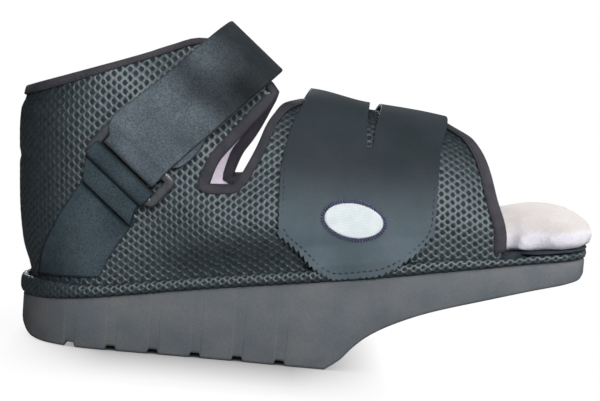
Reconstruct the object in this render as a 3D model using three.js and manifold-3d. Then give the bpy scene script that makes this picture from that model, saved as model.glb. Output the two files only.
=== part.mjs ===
// Forefoot offloading shoe: a wedge sole with a mesh upper, two straps and a thick pad at the toe.
// Millimetres, +Z up, +X toward the toe; the near side, with the ring, is -Y.
import * as THREE from "three";
import { mergeVertices } from "three/addons/utils/BufferGeometryUtils.js";
import Module from "manifold-3d";

const wasm = await Module();
wasm.setup();

// Driving sizes. While it is built, x = 0 is the back of the sole and z = 0 is the tread.
const gap = 0.35;
const plan = { length: 277.5, heelHalf: 39.5, heelDepth: 42, toeDepth: 34, toeSquare: 3.6, sideSteps: 9, flareSteps: 3 };
const tread = { back: 9, firstGroove: 28.5, pitch: 20.4, grooves: 6, mouth: 5.8, floor: 4, depth: 2.2 };
const band = { inset: 2.6, bulge: 1.6, heel: 8.6, side: 6, toe: 5.2 };
const wall = { inset: 3.7, thick: 2.2, lining: 1.2, depth: 40, square: 3, round: 2.5 };
const board = { thick: 5.4, lip: 1.3, lipStart: 242, overhang: 2.6 };
const pad = { thick: 11.2, crown: 4.2, flareStart: 239, overhang: 3.2, frontThick: 8.4, frontCrown: 1.4,
  spineBack: 45, spineFront: 246 };
const tape = { gap: 0.5, thick: 0.9, collar: 4, cuffFront: 4.2, vampRear: 3.4, toe: 4.5 };
const velour = { thick: 2.2, off: 39.3 };
const ring = { low: -39.2, high: 3.4, bottom: 94.6, top: 113.6, bar: 4.6, thick: 3.2, corner: 3.4, slack: 2.2 };
const notch = { middle: 95, soft: 20, foot: 84, dip: 0.4 };
const strap = { thick: 2.2, lift: 0.9, slitRow: 0.77, farEnd: 150 };
const label = { x: 161, z: 73.2, long: 28, high: 17, tilt: -3, thick: 0.8 };

// The side view's lines, each a short table of where it passes.
const soleTopLine = [
  { x: -8, z: 20.4 }, { x: 8, z: 21.2 }, { x: 35, z: 24.4 }, { x: 90, z: 33.2 },
  { x: 150, z: 42.3 }, { x: 210, z: 51.2 }, { x: 250, z: 57.7 }, { x: 285, z: 64.4 },
];
const rampLine = [
  { x: 152, z: 0 }, { x: 159, z: 5.4 }, { x: 164.5, z: 11.8 }, { x: 171, z: 17.8 }, { x: 181, z: 24 },
  { x: 197, z: 31 }, { x: 225, z: 39.8 }, { x: 254, z: 48.2 }, { x: 269, z: 52.2 }, { x: 275, z: 54.2 }, { x: 278, z: 57 },
];
const sideLine = [
  { x: 42, half: 39.5 }, { x: 100, half: 42.2 }, { x: 150, half: 47.2 },
  { x: 195, half: 52 }, { x: 225, half: 52 }, { x: 251, half: 50.4 }, { x: 279, half: 46 },
];
const heelBackLine = [
  { z: 22, x: 3.6 }, { z: 31, x: 3.2 }, { z: 46, x: -1.6 }, { z: 66, x: -4.6 },
  { z: 88, x: -6 }, { z: 105, x: -6.9 }, { z: 118, x: -6 }, { z: 135, x: -3.6 },
];
const ankleLine = [{ z: 20, half: 36.4 }, { z: 90, half: 36.6 }, { z: 115, half: 36.9 }, { z: 155, half: 34.6 }];
const collarLine = [
  { x: -7, z: 121.6 }, { x: 22, z: 131.8 }, { x: 67, z: 147.6 }, { x: 81, z: 151.8 }, { x: 89.5, z: 151.6 },
  { x: 98, z: 146.5 }, { x: 112, z: 135.4 }, { x: 118.6, z: 129 }, { x: 130, z: 95 },
];
const cuffFrontLine = [
  { z: 30, x: 82 }, { z: 60, x: 86 }, { z: 83, x: 90.2 }, { z: 95, x: 94.4 },
  { z: 106, x: 102 }, { z: 118, x: 111.2 }, { z: 125, x: 116.4 }, { z: 130, x: 118.6 }, { z: 160, x: 121 },
];
const vampTopLine = [{ x: 80, z: 125.6 }, { x: 131, z: 125.2 }, { x: 168, z: 123.6 }, { x: 206, z: 118.6 }, { x: 245, z: 112 }];
const vampRearLine = [
  { t: 0, x: 100.5 }, { t: 0.51, x: 102.4 }, { t: 0.6, x: 108 }, { t: 0.74, x: 114.6 },
  { t: 0.88, x: 119.8 }, { t: 0.96, x: 124 }, { t: 1, x: 132 },
];
const vampFrontLine = [
  { t: 0, x: 232.6 }, { t: 0.22, x: 232.2 }, { t: 0.56, x: 226.2 }, { t: 0.79, x: 221.6 },
  { t: 0.94, x: 215 }, { t: 1, x: 205 },
];
const strapRearLine = [{ t: 0, x: 127 }, { t: 0.34, x: 125 }, { t: 0.6, x: 124.6 }, { t: 0.8, x: 127.5 }, { t: 1, x: 136 }];
const strapFrontLine = [{ t: 0, x: 196.4 }, { t: 0.27, x: 199 }, { t: 0.77, x: 199.2 }, { t: 1, x: 203.6 }];
const strapFootLine = [
  { s: 0, z: 61.5 }, { s: 0.15, z: 53 }, { s: 0.3, z: 45.6 }, { s: 0.42, z: 43.2 },
  { s: 0.56, z: 44.8 }, { s: 0.68, z: 48 }, { s: 0.84, z: 55 }, { s: 1, z: 62 },
];
const panelRows = [
  { v: 0, rearX: 11, rearZ: 32.8, frontX: 41, frontZ: 35 },
  { v: 0.25, rearX: 12.4, rearZ: 44, frontX: 44.6, frontZ: 43 },
  { v: 0.6, rearX: 19, rearZ: 61, frontX: 50.6, frontZ: 54 },
  { v: 1, rearX: 31, rearZ: 82.5, frontX: 57.6, frontZ: 64 },
];
// The ankle strap's frame: along is up and forward, across runs parallel to the ring's bars.
const across = { x: 0.77, z: -0.638 };
const along = { x: 0.638, z: 0.77 };
const ankleEdges = [
  { along: 80, low: -36, high: -3 }, { along: 102, low: -34, high: -2 }, { along: 114, low: -34, high: -2 },
  { along: 120, low: -36.4, high: -1.6 }, { along: 150, low: -34, high: 1 }, { along: 186, low: -31, high: 4.5 },
];
const tabEdges = [{ along: 83, low: -28.4, high: 2.8 }, { along: 93, low: -34, high: -2.2 }, { along: 104, low: -34, high: -2 }];
// How the cuff's front flaps close in round the ankle, measured along the strap.
const flaps = { start: 125, end: 180, close: 0.55 };

// A smooth curve through a table that never overshoots its rows.
function curve(rows, from, to) {
  const n = rows.length;
  const slope = [];
  for (let i = 0; i < n - 1; i++) slope.push((rows[i + 1][to] - rows[i][to]) / (rows[i + 1][from] - rows[i][from]));
  const tangent = rows.map((row, i) => {
    if (i === 0) return slope[0];
    if (i === n - 1) return slope[n - 2];
    const flat = slope[i - 1] * slope[i] <= 0;
    return flat ? 0 : (2 * slope[i - 1] * slope[i]) / (slope[i - 1] + slope[i]);
  });
  return (value) => {
    if (value <= rows[0][from]) return rows[0][to] + tangent[0] * (value - rows[0][from]);
    if (value >= rows[n - 1][from]) return rows[n - 1][to] + tangent[n - 1] * (value - rows[n - 1][from]);
    let i = 0;
    while (value > rows[i + 1][from]) i++;
    const span = rows[i + 1][from] - rows[i][from];
    const u = (value - rows[i][from]) / span;
    const a = rows[i][to] * (1 + 2 * u) * (1 - u) ** 2 + rows[i + 1][to] * u * u * (3 - 2 * u);
    return a + span * (tangent[i] * u * (1 - u) ** 2 - tangent[i + 1] * u * u * (1 - u));
  };
}

const mix = (a, b, u) => a + (b - a) * u;
const smooth = (low, high, value) => THREE.MathUtils.smoothstep(value, low, high);
const soleTop = curve(soleTopLine, "x", "z");
const ramp = curve(rampLine, "x", "z");
const side = curve(sideLine, "x", "half");
const heelBack = curve(heelBackLine, "z", "x");
const ankle = curve(ankleLine, "z", "half");
const collar = curve(collarLine, "x", "z");
const cuffFront = curve(cuffFrontLine, "z", "x");
const vampTop = curve(vampTopLine, "x", "z");
const vampRear = curve(vampRearLine, "t", "x");
const vampFront = curve(vampFrontLine, "t", "x");
const strapRear = curve(strapRearLine, "t", "x");
const strapFront = curve(strapFrontLine, "t", "x");
const strapFoot = curve(strapFootLine, "s", "z");

// Solids from points and faces. Faces that end up pointing inwards are turned round.
function solid(points, faces) {
  const place = points.flatMap((p) => [p.x, p.y, p.z]);
  let index = faces.flatMap((f) => (f.length === 3 ? f : [f[0], f[1], f[2], f[0], f[2], f[3]]));
  let volume = 0;
  for (let i = 0; i < index.length; i += 3) {
    const [a, b, c] = [points[index[i]], points[index[i + 1]], points[index[i + 2]]];
    volume += a.dot(new THREE.Vector3().crossVectors(b, c));
  }
  if (volume < 0) index = index.reverse();
  const geometry = new THREE.BufferGeometry();
  geometry.setAttribute("position", new THREE.Float32BufferAttribute(place, 3));
  geometry.setIndex(index);
  return geometry;
}

// An open surface of quads, with corners at the same place shared.
function surface() {
  const points = [];
  const quads = [];
  const known = new Map();
  const corner = (p) => {
    const key = [p.x, p.y, p.z].map((c) => Math.round(c * 200)).join(",");
    if (!known.has(key)) known.set(key, points.push(p.clone()) - 1);
    return known.get(key);
  };
  const quad = (...corners) => {
    const ids = corners.map(corner);
    const unique = ids.filter((id, i) => id !== ids[(i + 1) % ids.length]);
    if (unique.length > 2) quads.push(unique);
  };
  return { points, quads, corner, quad };
}

// Adds a grid of points to a surface; keep says which cells are there.
function addGrid(sheet, grid, keep = () => true) {
  for (let i = 0; i < grid.length - 1; i++) {
    for (let j = 0; j < grid[i].length - 1; j++) {
      if (!keep(i, j)) continue;
      sheet.quad(grid[i][j], grid[i + 1][j], grid[i + 1][j + 1], grid[i][j + 1]);
    }
  }
}

// The same grid on the far side, turned so that it still faces out.
const mirrored = (grid) => grid.map((line) => line.map((p) => p && new THREE.Vector3(p.x, -p.y, p.z))).reverse();

function normalsOf(sheet) {
  const normals = sheet.points.map(() => new THREE.Vector3());
  for (const ids of sheet.quads) {
    const [a, b, c] = ids.map((id) => sheet.points[id]);
    const d = sheet.points[ids[ids.length - 1]];
    const normal = new THREE.Vector3().crossVectors(c.clone().sub(a), d.clone().sub(b));
    if (ids.length === 3) normal.crossVectors(b.clone().sub(a), c.clone().sub(a));
    ids.forEach((id) => normals[id].add(normal));
  }
  return normals.map((normal) => normal.normalize());
}

// A wall made from an open surface: one face at the outer offset, one at the inner, and rims between.
function thicken(sheet, outer, inner) {
  const normals = normalsOf(sheet);
  const count = sheet.points.length;
  const at = (offset) => sheet.points.map((p, i) => p.clone().addScaledVector(normals[i], offset(p)));
  const points = [...at(outer), ...at(inner)];
  const faces = [];
  const open = new Map();
  for (const ids of sheet.quads) {
    faces.push([...ids]);
    faces.push([ids[0], ...ids.slice(1).reverse()].map((id) => id + count));
    ids.forEach((a, k) => {
      const b = ids[(k + 1) % ids.length];
      if (open.has(b + ":" + a)) open.delete(b + ":" + a);
      else open.set(a + ":" + b, [a, b]);
    });
  }
  for (const [a, b] of open.values()) faces.push([b, a, a + count, b + count]);
  return solid(points, faces);
}

// A solid whose sections, each a ring of points, follow one another; flat gives each section's 2D outline.
function sweep(sections, closed, flat) {
  const size = sections[0].length;
  const faces = [];
  const last = closed ? sections.length : sections.length - 1;
  for (let i = 0; i < last; i++) {
    const next = (i + 1) % sections.length;
    for (let k = 0; k < size; k++) {
      const after = (k + 1) % size;
      faces.push([i * size + k, next * size + k, next * size + after, i * size + after]);
    }
  }
  if (!closed) {
    const cap = THREE.ShapeUtils.triangulateShape(flat, []);
    const end = (sections.length - 1) * size;
    for (const [a, b, c] of cap) {
      faces.push([a, b, c]);
      faces.push([end + c, end + b, end + a]);
    }
  }
  return solid(sections.flat(), faces);
}

// Rings stacked upward, closed below and above by strips from the near side to the far side.
function stack(rings) {
  const size = rings[0].length;
  const half = size / 2;
  const faces = [];
  for (let k = 0; k < rings.length - 1; k++) {
    for (let i = 0; i < size; i++) {
      const next = (i + 1) % size;
      faces.push([k * size + i, k * size + next, (k + 1) * size + next, (k + 1) * size + i]);
    }
  }
  const lid = (rings.length - 1) * size;
  for (let i = 0; i < half; i++) {
    const strip = [i, i + 1, (size - i - 1) % size, (size - i) % size].filter((id, k, all) => all.indexOf(id) === k);
    faces.push(strip.map((id) => lid + id));
    faces.push([...strip].reverse());
  }
  return solid(rings.flat(), faces);
}

// The sole's plan outline, near side from heel to toe and then back along the far side.
function planOutline() {
  const near = [];
  for (let i = 0; i < 8; i++) {
    const turn = (i / 8) * (Math.PI / 2);
    near.push({ x: plan.heelDepth * (1 - Math.cos(turn)), y: -plan.heelHalf * Math.sin(turn) });
  }
  const cornerX = plan.length - plan.toeDepth;
  const toeHalf = side(cornerX);
  const flare = pad.flareStart - 1;
  for (let i = 0; i < plan.sideSteps + plan.flareSteps; i++) {
    const late = i >= plan.sideSteps;
    const x = late
      ? mix(flare, cornerX, (i - plan.sideSteps) / plan.flareSteps)
      : mix(plan.heelDepth, flare, i / plan.sideSteps);
    near.push({ x, y: -side(x) });
  }
  const toeSteps = 9;
  for (let i = 0; i <= toeSteps; i++) {
    const turn = (i / toeSteps) * (Math.PI / 2);
    const forward = Math.sin(turn) ** (2 / plan.toeSquare);
    const outward = i === toeSteps ? 0 : Math.cos(turn) ** (2 / plan.toeSquare);
    near.push({ x: cornerX + plan.toeDepth * forward, y: -toeHalf * outward });
  }
  const far = near.slice(1, -1).reverse().map((p) => ({ x: p.x, y: -p.y }));
  const loop = [...near, ...far];
  return loop.map((p, i) => {
    const before = loop[(i + loop.length - 1) % loop.length];
    const after = loop[(i + 1) % loop.length];
    const run = Math.hypot(after.x - before.x, after.y - before.y);
    return { x: p.x, y: p.y, nx: (after.y - before.y) / run, ny: -(after.x - before.x) / run };
  });
}

const outline = planOutline();

// One ring of the outline, moved inwards by inset(x) and lifted above the sole's top by lift.
function planRing(inset, lift) {
  return outline.map((p) => {
    const by = typeof inset === "function" ? inset(p.x) : inset;
    const x = p.x - p.nx * by;
    const y = p.y - p.ny * by;
    return new THREE.Vector3(x, y, soleTop(x) + (typeof lift === "function" ? lift(x) : lift));
  });
}

function toManifold(geometry) {
  const bare = geometry.clone();
  bare.deleteAttribute("normal");
  bare.deleteAttribute("uv");
  const merged = mergeVertices(bare, 1e-4);
  const mesh = new wasm.Mesh({
    numProp: 3,
    vertProperties: new Float32Array(merged.attributes.position.array),
    triVerts: new Uint32Array(merged.index.array),
  });
  return new wasm.Manifold(mesh);
}

function fromManifold(manifold) {
  const mesh = manifold.getMesh();
  const geometry = new THREE.BufferGeometry();
  geometry.setAttribute("position", new THREE.Float32BufferAttribute(mesh.vertProperties, 3));
  geometry.setIndex(Array.from(mesh.triVerts));
  return geometry;
}

// The outsole: the side view's outline, grooves included, run across and trimmed to the plan outline.
function makeOutsole() {
  const edge = [];
  edge.push([-4, 14], [-4, 9], [0.6, 5], [3.4, 1.4], [tread.back, 0]);
  for (let i = 0; i < tread.grooves; i++) {
    const middle = tread.firstGroove + i * tread.pitch;
    edge.push([middle - tread.mouth / 2, 0], [middle - tread.floor / 2, tread.depth]);
    edge.push([middle + tread.floor / 2, tread.depth], [middle + tread.mouth / 2, 0]);
  }
  const rampSteps = 13;
  const [start, end] = [rampLine[0].x, rampLine[rampLine.length - 1].x];
  for (let i = 0; i <= rampSteps; i++) {
    const x = mix(start, end, (i / rampSteps) ** 1.25);
    edge.push([x, ramp(x)]);
  }
  const topSteps = 24;
  edge.push([plan.length + 3, 59]);
  for (let i = 0; i <= topSteps; i++) {
    const x = mix(plan.length + 3, -4, i / topSteps);
    edge.push([x, soleTop(x)]);
  }
  const profile = new THREE.Shape(edge.map(([x, z]) => new THREE.Vector2(x, z)));
  const width = 140;
  const across = new THREE.ExtrudeGeometry(profile, { depth: width, bevelEnabled: false, curveSegments: 1 });
  across.rotateX(Math.PI / 2);
  across.translate(0, width / 2, 0);
  const footprint = new THREE.Shape(outline.map((p) => new THREE.Vector2(p.x, p.y)));
  const upright = new THREE.ExtrudeGeometry(footprint, { depth: 90, bevelEnabled: false, curveSegments: 1 });
  upright.translate(0, 0, -5);
  return fromManifold(toManifold(across).intersect(toManifold(upright)));
}

// The rolled band on the sole's top edge: tall round the heel, lower along the sides and at the toe.
function bandHeight(x) {
  return mix(mix(band.heel, band.side, smooth(8, 45, x)), band.toe, smooth(200, 242, x));
}
function makeBand() {
  const middle = (band.bulge - band.inset) / 2;
  const reach = (band.bulge + band.inset) / 2;
  const sides = 8;
  const sections = outline.map((p) => {
    const points = [];
    for (let k = 0; k < sides; k++) {
      const turn = ((k + 0.5) / sides) * 2 * Math.PI;
      const out = middle + reach * THREE.MathUtils.clamp(Math.cos(turn) * 1.1, -1, 1);
      const x = p.x + p.nx * out;
      const up = gap + (bandHeight(x) / 2) * (1 + THREE.MathUtils.clamp(Math.sin(turn) * 1.08, -1, 1));
      points.push(new THREE.Vector3(x, p.y + p.ny * out, soleTop(x) + up));
    }
    return points;
  });
  return sweep(sections, true);
}

const inside = wall.inset + wall.thick + wall.lining + 3 * gap + 0.3;
const atToe = (x, start) => smooth(start, start + 5, x);

// The board: inside the upper, and at the toe a lip that runs out over the band.
const lipUnder = band.toe + 2.2 * gap;
const lipRise = lipUnder - board.thick + board.lip;
function makeBoard() {
  const up = (x) => atToe(x, board.lipStart - 6);
  const reach = (x) => mix(inside, -board.overhang, atToe(x, board.lipStart));
  const foot = planRing(inside, gap);
  const shoulder = planRing(inside, (x) => mix(board.thick - board.lip, lipUnder, up(x)));
  const under = planRing(reach, (x) => mix(board.thick - board.lip / 2, lipUnder + 0.1, up(x)));
  const over = planRing(reach, (x) => board.thick + lipRise * up(x));
  return stack([foot, shoulder, under, over]);
}

// The pad: a cushion with a round edge and a low crown, wide and proud of the sole in front of the upper.
function makePad() {
  const base = (x) => board.thick + gap + lipRise * atToe(x, board.lipStart - 6.4);
  const reach = (x) => mix(inside + 1.2, mix(0.6, -pad.overhang, smooth(244, 262, x)), atToe(x, pad.flareStart));
  const thick = (x) => mix(pad.thick, pad.frontThick, smooth(258, 281, x));
  const crown = (x) => mix(pad.crown, pad.frontCrown, smooth(252, 281, x));
  const layers = [
    { inset: 3.4, shrink: 0, up: 0, rise: 0 }, { inset: 0.7, shrink: 0, up: 0.2, rise: 0 },
    { inset: 0, shrink: 0, up: 0.5, rise: 0 }, { inset: 0.9, shrink: 0, up: 0.8, rise: 0 },
    { inset: 4, shrink: 0, up: 1, rise: 0 }, { inset: 4, shrink: 0.3, up: 1, rise: 0.65 },
    { inset: 4, shrink: 0.65, up: 1, rise: 1 },
  ];
  const rings = layers.map((layer) =>
    outline.map((p) => {
      const by = reach(p.x) + layer.inset;
      const edge = p.x - p.nx * by;
      const x = mix(edge, THREE.MathUtils.clamp(edge, pad.spineBack, pad.spineFront), layer.shrink);
      const y = (p.y - p.ny * by) * (1 - layer.shrink);
      return new THREE.Vector3(x, y, soleTop(x) + base(x) + thick(x) * layer.up + crown(x) * layer.rise);
    }),
  );
  return stack(rings);
}

// Half the width of the upper's outer face at x and z: the cuff, the vamp, and the blend under the notch.
function cuffHalf(x, z) {
  const reach = THREE.MathUtils.clamp((x - heelBack(z)) / wall.depth, 0, 1);
  const rise = smooth(soleTop(x), 92, z);
  const flat = mix(side(Math.max(x, plan.heelDepth)) - wall.inset, ankle(z), rise);
  const closing = 1 - flaps.close * smooth(flaps.start, flaps.end, along.x * x + along.z * z);
  return flat * closing * Math.sqrt(1 - (1 - reach) ** 2);
}
function vampHalf(x, z) {
  const t = THREE.MathUtils.clamp((z - soleTop(x)) / (vampTop(x) - soleTop(x)), 0, 1);
  return (side(x) - wall.inset) * (1 - t ** wall.square) ** (1 / wall.round);
}
// Vamp is 1 for a point of the vamp and 0 for the cuff: above the notch they no longer blend.
function halfWidth(x, z, vamp) {
  const blend = smooth(notch.middle - notch.soft, notch.middle + notch.soft, x);
  const share = mix(blend, vamp, smooth(notch.foot - 18, notch.foot, z));
  return mix(cuffHalf(x, z), vampHalf(x, z), share);
}
const onUpper = (x, z, vamp) => new THREE.Vector3(x, -halfWidth(x, z, vamp), z);

// The upper's near half as a grid of columns from the heel's back to the front of the vamp.
const grid = { heel: 6, flat: 8, notch: 3, vamp: 8, low: 4, high: 7, notchT: 0.51 };
const turnAt = (t) => Math.asin(Math.min(1, t ** (wall.square / 2)));
const riseAt = (turn) => Math.sin(turn) ** (2 / wall.square);

function cuffColumn(i) {
  const turn = Math.min(i / grid.heel, 1) * (Math.PI / 2);
  const share = Math.max(0, (i - grid.heel) / grid.flat);
  const xAt = (z) => {
    const arc = heelBack(z) + wall.depth * (1 - Math.cos(turn));
    return mix(arc, cuffFront(z), share);
  };
  let [low, high] = [90, 165];
  for (let step = 0; step < 40; step++) {
    const middle = (low + high) / 2;
    if (collar(xAt(middle)) > middle) low = middle;
    else high = middle;
  }
  const foot = soleTop(xAt(30)) + 1.5 * gap;
  const middle = mix(notch.foot - 5, notch.foot, share);
  const column = [];
  for (let j = 0; j <= grid.low; j++) column.push(mix(foot, middle, j / grid.low));
  for (let j = 1; j <= grid.high; j++) column.push(mix(middle, low, j / grid.high));
  return column.map((z) => onUpper(xAt(z), z, 0));
}

// A point of the vamp's arch: turn runs from 0 at the sole to a half turn at the far side's sole.
function onArch(turn, xAt) {
  const far = turn > Math.PI / 2;
  const t = riseAt(far ? Math.PI - turn : turn);
  const x = xAt(t);
  const z = Math.max(mix(soleTop(x), vampTop(x), t), soleTop(x) + 1.5 * gap);
  const crown = Math.abs(turn - Math.PI / 2) < 1e-6;
  const y = crown ? 0 : halfWidth(x, z, 1);
  return new THREE.Vector3(x, far ? y : -y, z);
}

function vampColumn(i) {
  const xAt = (t) => mix(vampRear(t), vampFront(t), i / grid.vamp);
  const column = [];
  for (let j = 0; j <= grid.low; j++) column.push(turnAt((grid.notchT * j) / grid.low));
  const start = turnAt(grid.notchT);
  for (let j = 1; j <= grid.high; j++) column.push(mix(start, Math.PI / 2, j / grid.high));
  return column.map((turn) => onArch(turn, xAt));
}

function upperGrid() {
  const columns = [];
  for (let i = 0; i <= grid.heel + grid.flat; i++) columns.push(cuffColumn(i));
  const before = columns[columns.length - 1];
  const after = vampColumn(0);
  for (let i = 1; i < grid.notch; i++) {
    const share = i / grid.notch;
    const column = before.map((p, j) => {
      const q = after[j];
      const sag = notch.dip * Math.sin(share * Math.PI) * Math.min(1, j / grid.low) ** 3;
      return j > grid.low ? null : onUpper(mix(p.x, q.x, share), mix(p.z, q.z, share) - sag, share);
    });
    columns.push(column);
  }
  for (let i = 0; i <= grid.vamp; i++) columns.push(vampColumn(i));
  return columns;
}

const upper = upperGrid();
const cuffLast = grid.heel + grid.flat;
const vampFirst = cuffLast + grid.notch;
const upperSheet = surface();
const inNotch = (i, j) => i >= cuffLast && i < vampFirst && j >= grid.low;
addGrid(upperSheet, upper, (i, j) => !inNotch(i, j));
const farUpper = mirrored(upper);
addGrid(upperSheet, farUpper, (i, j) => !inNotch(upper.length - 2 - i, j));
const upperNormals = normalsOf(upperSheet);

const liningOut = -wall.thick - gap;
const liningIn = liningOut - wall.lining;
const makeUpper = () => thicken(upperSheet, () => 0, () => -wall.thick);
const makeLining = () => thicken(upperSheet, () => liningOut, () => liningIn);

// Folded tape: a U round the edge of the wall and its lining, along a path of the upper's corners.
function tapeSections(path, reachAt, closed) {
  return path.map((p, i) => {
    const before = path[closed ? (i + path.length - 1) % path.length : Math.max(i - 1, 0)];
    const after = path[closed ? (i + 1) % path.length : Math.min(i + 1, path.length - 1)];
    const normal = upperNormals[upperSheet.corner(p)];
    const run = after.clone().sub(before).normalize();
    const inward = new THREE.Vector3().crossVectors(run, normal).normalize();
    return tapeOutline(reachAt(i)).map(({ x, y }) =>
      p.clone().addScaledVector(inward, x).addScaledVector(normal, y));
  });
}
function tapeOutline(reach) {
  const low = liningIn - 2 * tape.gap;
  const high = tape.gap;
  const edge = -tape.gap - tape.thick;
  const rows = [
    [reach, high + tape.thick], [0, high + tape.thick], [edge, high], [edge, low],
    [0, low - tape.thick], [reach, low - tape.thick], [reach, low], [-tape.gap, low], [-tape.gap, high], [reach, high],
  ];
  return rows.map(([x, y]) => new THREE.Vector2(x, y));
}

function makeThroatBinding() {
  const top = upper[0].length - 1;
  const near = [];
  const reach = [];
  const add = (point, length) => {
    near.push(point);
    reach.push(length);
  };
  for (let i = 0; i <= cuffLast; i++) add(upper[i][top], tape.collar);
  for (let j = top - 1; j >= grid.low; j--) add(upper[cuffLast][j], tape.cuffFront);
  for (let i = cuffLast + 1; i < vampFirst; i++) add(upper[i][grid.low], tape.vampRear);
  for (let j = grid.low; j <= top; j++) add(upper[vampFirst][j], tape.vampRear);
  const far = near.slice(1, -1).reverse().map((p) => new THREE.Vector3(p.x, -p.y, p.z));
  const farReach = reach.slice(1, -1).reverse();
  const lengths = [...reach, ...farReach];
  return sweep(tapeSections([...near, ...far], (i) => lengths[i], true), true);
}

function makeToeBinding() {
  const top = upper[0].length - 1;
  const column = upper[upper.length - 1];
  const near = column.slice(2, top + 1);
  const far = near.slice(0, -1).reverse().map((p) => new THREE.Vector3(p.x, -p.y, p.z));
  const path = [...near, ...far].reverse();
  return sweep(tapeSections(path, () => tape.toe, false), false, tapeOutline(tape.toe));
}

// Heel panel: a patch that lies on the cuff.
function makeHeelPanel(sign) {
  const [rows, columns] = [6, 6];
  const edge = Object.fromEntries(["rearX", "rearZ", "frontX", "frontZ"].map((key) => [key, curve(panelRows, "v", key)]));
  const cells = [];
  for (let i = 0; i <= columns; i++) {
    const line = [];
    for (let j = 0; j <= rows; j++) {
      const v = j / rows;
      const x = mix(edge.rearX(v), edge.frontX(v), i / columns);
      const z = mix(edge.rearZ(v), edge.frontZ(v), i / columns);
      line.push(onUpper(x, z, 0));
    }
    cells.push(line);
  }
  const sheet = surface();
  addGrid(sheet, sign < 0 ? cells : mirrored(cells));
  const off = 2.6 * gap;
  return thicken(sheet, () => off + 1.1, () => off);
}

// A ribbon: path points give the distance along and the depth y; edges gives its two sides there.
function ribbon(path, edges, thick) {
  const low = curve(edges, "along", "low");
  const high = curve(edges, "along", "high");
  const at = (acrossBy, alongBy, y) =>
    new THREE.Vector3(across.x * acrossBy + along.x * alongBy, y, across.z * acrossBy + along.z * alongBy);
  const sections = path.map((p, i) => {
    const before = path[Math.max(i - 1, 0)];
    const after = path[Math.min(i + 1, path.length - 1)];
    const run = Math.hypot(after.a - before.a, after.y - before.y);
    const na = -(after.y - before.y) / run;
    const ny = (after.a - before.a) / run;
    const half = thick / 2;
    const faces = [1, -1].map((s) => ({ a: p.a + na * half * s, y: p.y + ny * half * s }));
    const right = high(p.a) + (p.wider ?? 0);
    return [
      at(low(p.a), faces[0].a, faces[0].y), at(right, faces[0].a, faces[0].y),
      at(right, faces[1].a, faces[1].y), at(low(p.a), faces[1].a, faces[1].y),
    ];
  });
  const square = [[0, 0], [1, 0], [1, 1], [0, 1]].map(([x, y]) => new THREE.Vector2(x, y));
  return sweep(sections, false, square);
}

const ringY = -(velour.off + velour.thick + gap + ring.thick / 2);
const barUp = ring.top - ring.bar / 2;
const barDown = ring.bottom + ring.bar / 2;

// A fold round one of the ring's bars, from the inner layer to the outer one.
function fold(barAlong, direction, slack) {
  const points = [];
  const steps = 8;
  const reachA = ring.bar / 2 + 1.8 * gap + velour.thick / 2 + slack;
  const reachY = ring.thick / 2 + gap + velour.thick / 2;
  for (let i = 0; i <= steps; i++) {
    const turn = (i / steps) * Math.PI;
    const round = Math.sign(Math.cos(turn)) * Math.abs(Math.cos(turn)) ** 0.7;
    points.push({ a: barAlong + direction * reachA * Math.sin(turn) ** 0.7, y: ringY + reachY * round });
  }
  const past = barAlong - direction * (ring.bar / 2 + 1.5);
  points.unshift({ a: past, y: ringY + reachY });
  points.push({ a: past, y: ringY - reachY });
  return points;
}

// Ankle strap: sewn on at the far side, round the front, through the ring and back over itself.
function makeAnkleStrap() {
  const inner = -(velour.off + velour.thick / 2);
  const outer = inner - velour.thick - 0.4;
  const [turnStart, front] = [140, 184.4];
  const path = [];
  const arc = (y, reach, from, to, steps) => {
    for (let i = 0; i <= steps; i++) {
      const turn = mix(from, to, i / steps);
      path.push({ a: turnStart + reach * Math.sin(turn) ** 0.7, y: y * Math.cos(turn) });
    }
  };
  for (const a of [84, 100, 115, 130]) path.push({ a, y: -inner });
  arc(-inner, front - velour.thick - 0.4 - turnStart, 0, Math.PI, 20);
  path.push({ a: 130, y: inner, wider: 3 }, { a: 120, y: inner, wider: 3 });
  path.push(...fold(barUp, -1, ring.slack));
  for (const a of [124, 132]) path.push({ a, y: outer });
  arc(outer, front - turnStart, 0, Math.PI - 0.5, 18);
  return ribbon(path, ankleEdges, velour.thick);
}

// Ring tab: doubled round the ring's lower bar, with its end on the heel panel.
function makeRingTab() {
  const inner = -(velour.off + velour.thick / 2);
  const outer = inner - velour.thick - 0.4;
  const path = [{ a: tabEdges[0].along, y: inner }, { a: 87, y: inner }];
  path.push(...fold(barDown, 1, 0));
  path.push({ a: 87, y: outer }, { a: tabEdges[0].along, y: outer });
  return ribbon(path, tabEdges, velour.thick);
}

function roundedRect(shape, left, bottom, right, top, radius) {
  shape.moveTo(left + radius, bottom);
  shape.lineTo(right - radius, bottom);
  shape.absarc(right - radius, bottom + radius, radius, -Math.PI / 2, 0);
  shape.lineTo(right, top - radius);
  shape.absarc(right - radius, top - radius, radius, 0, Math.PI / 2);
  shape.lineTo(left + radius, top);
  shape.absarc(left + radius, top - radius, radius, Math.PI / 2, Math.PI);
  shape.lineTo(left, bottom + radius);
  shape.absarc(left + radius, bottom + radius, radius, Math.PI, 1.5 * Math.PI);
  return shape;
}

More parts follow.
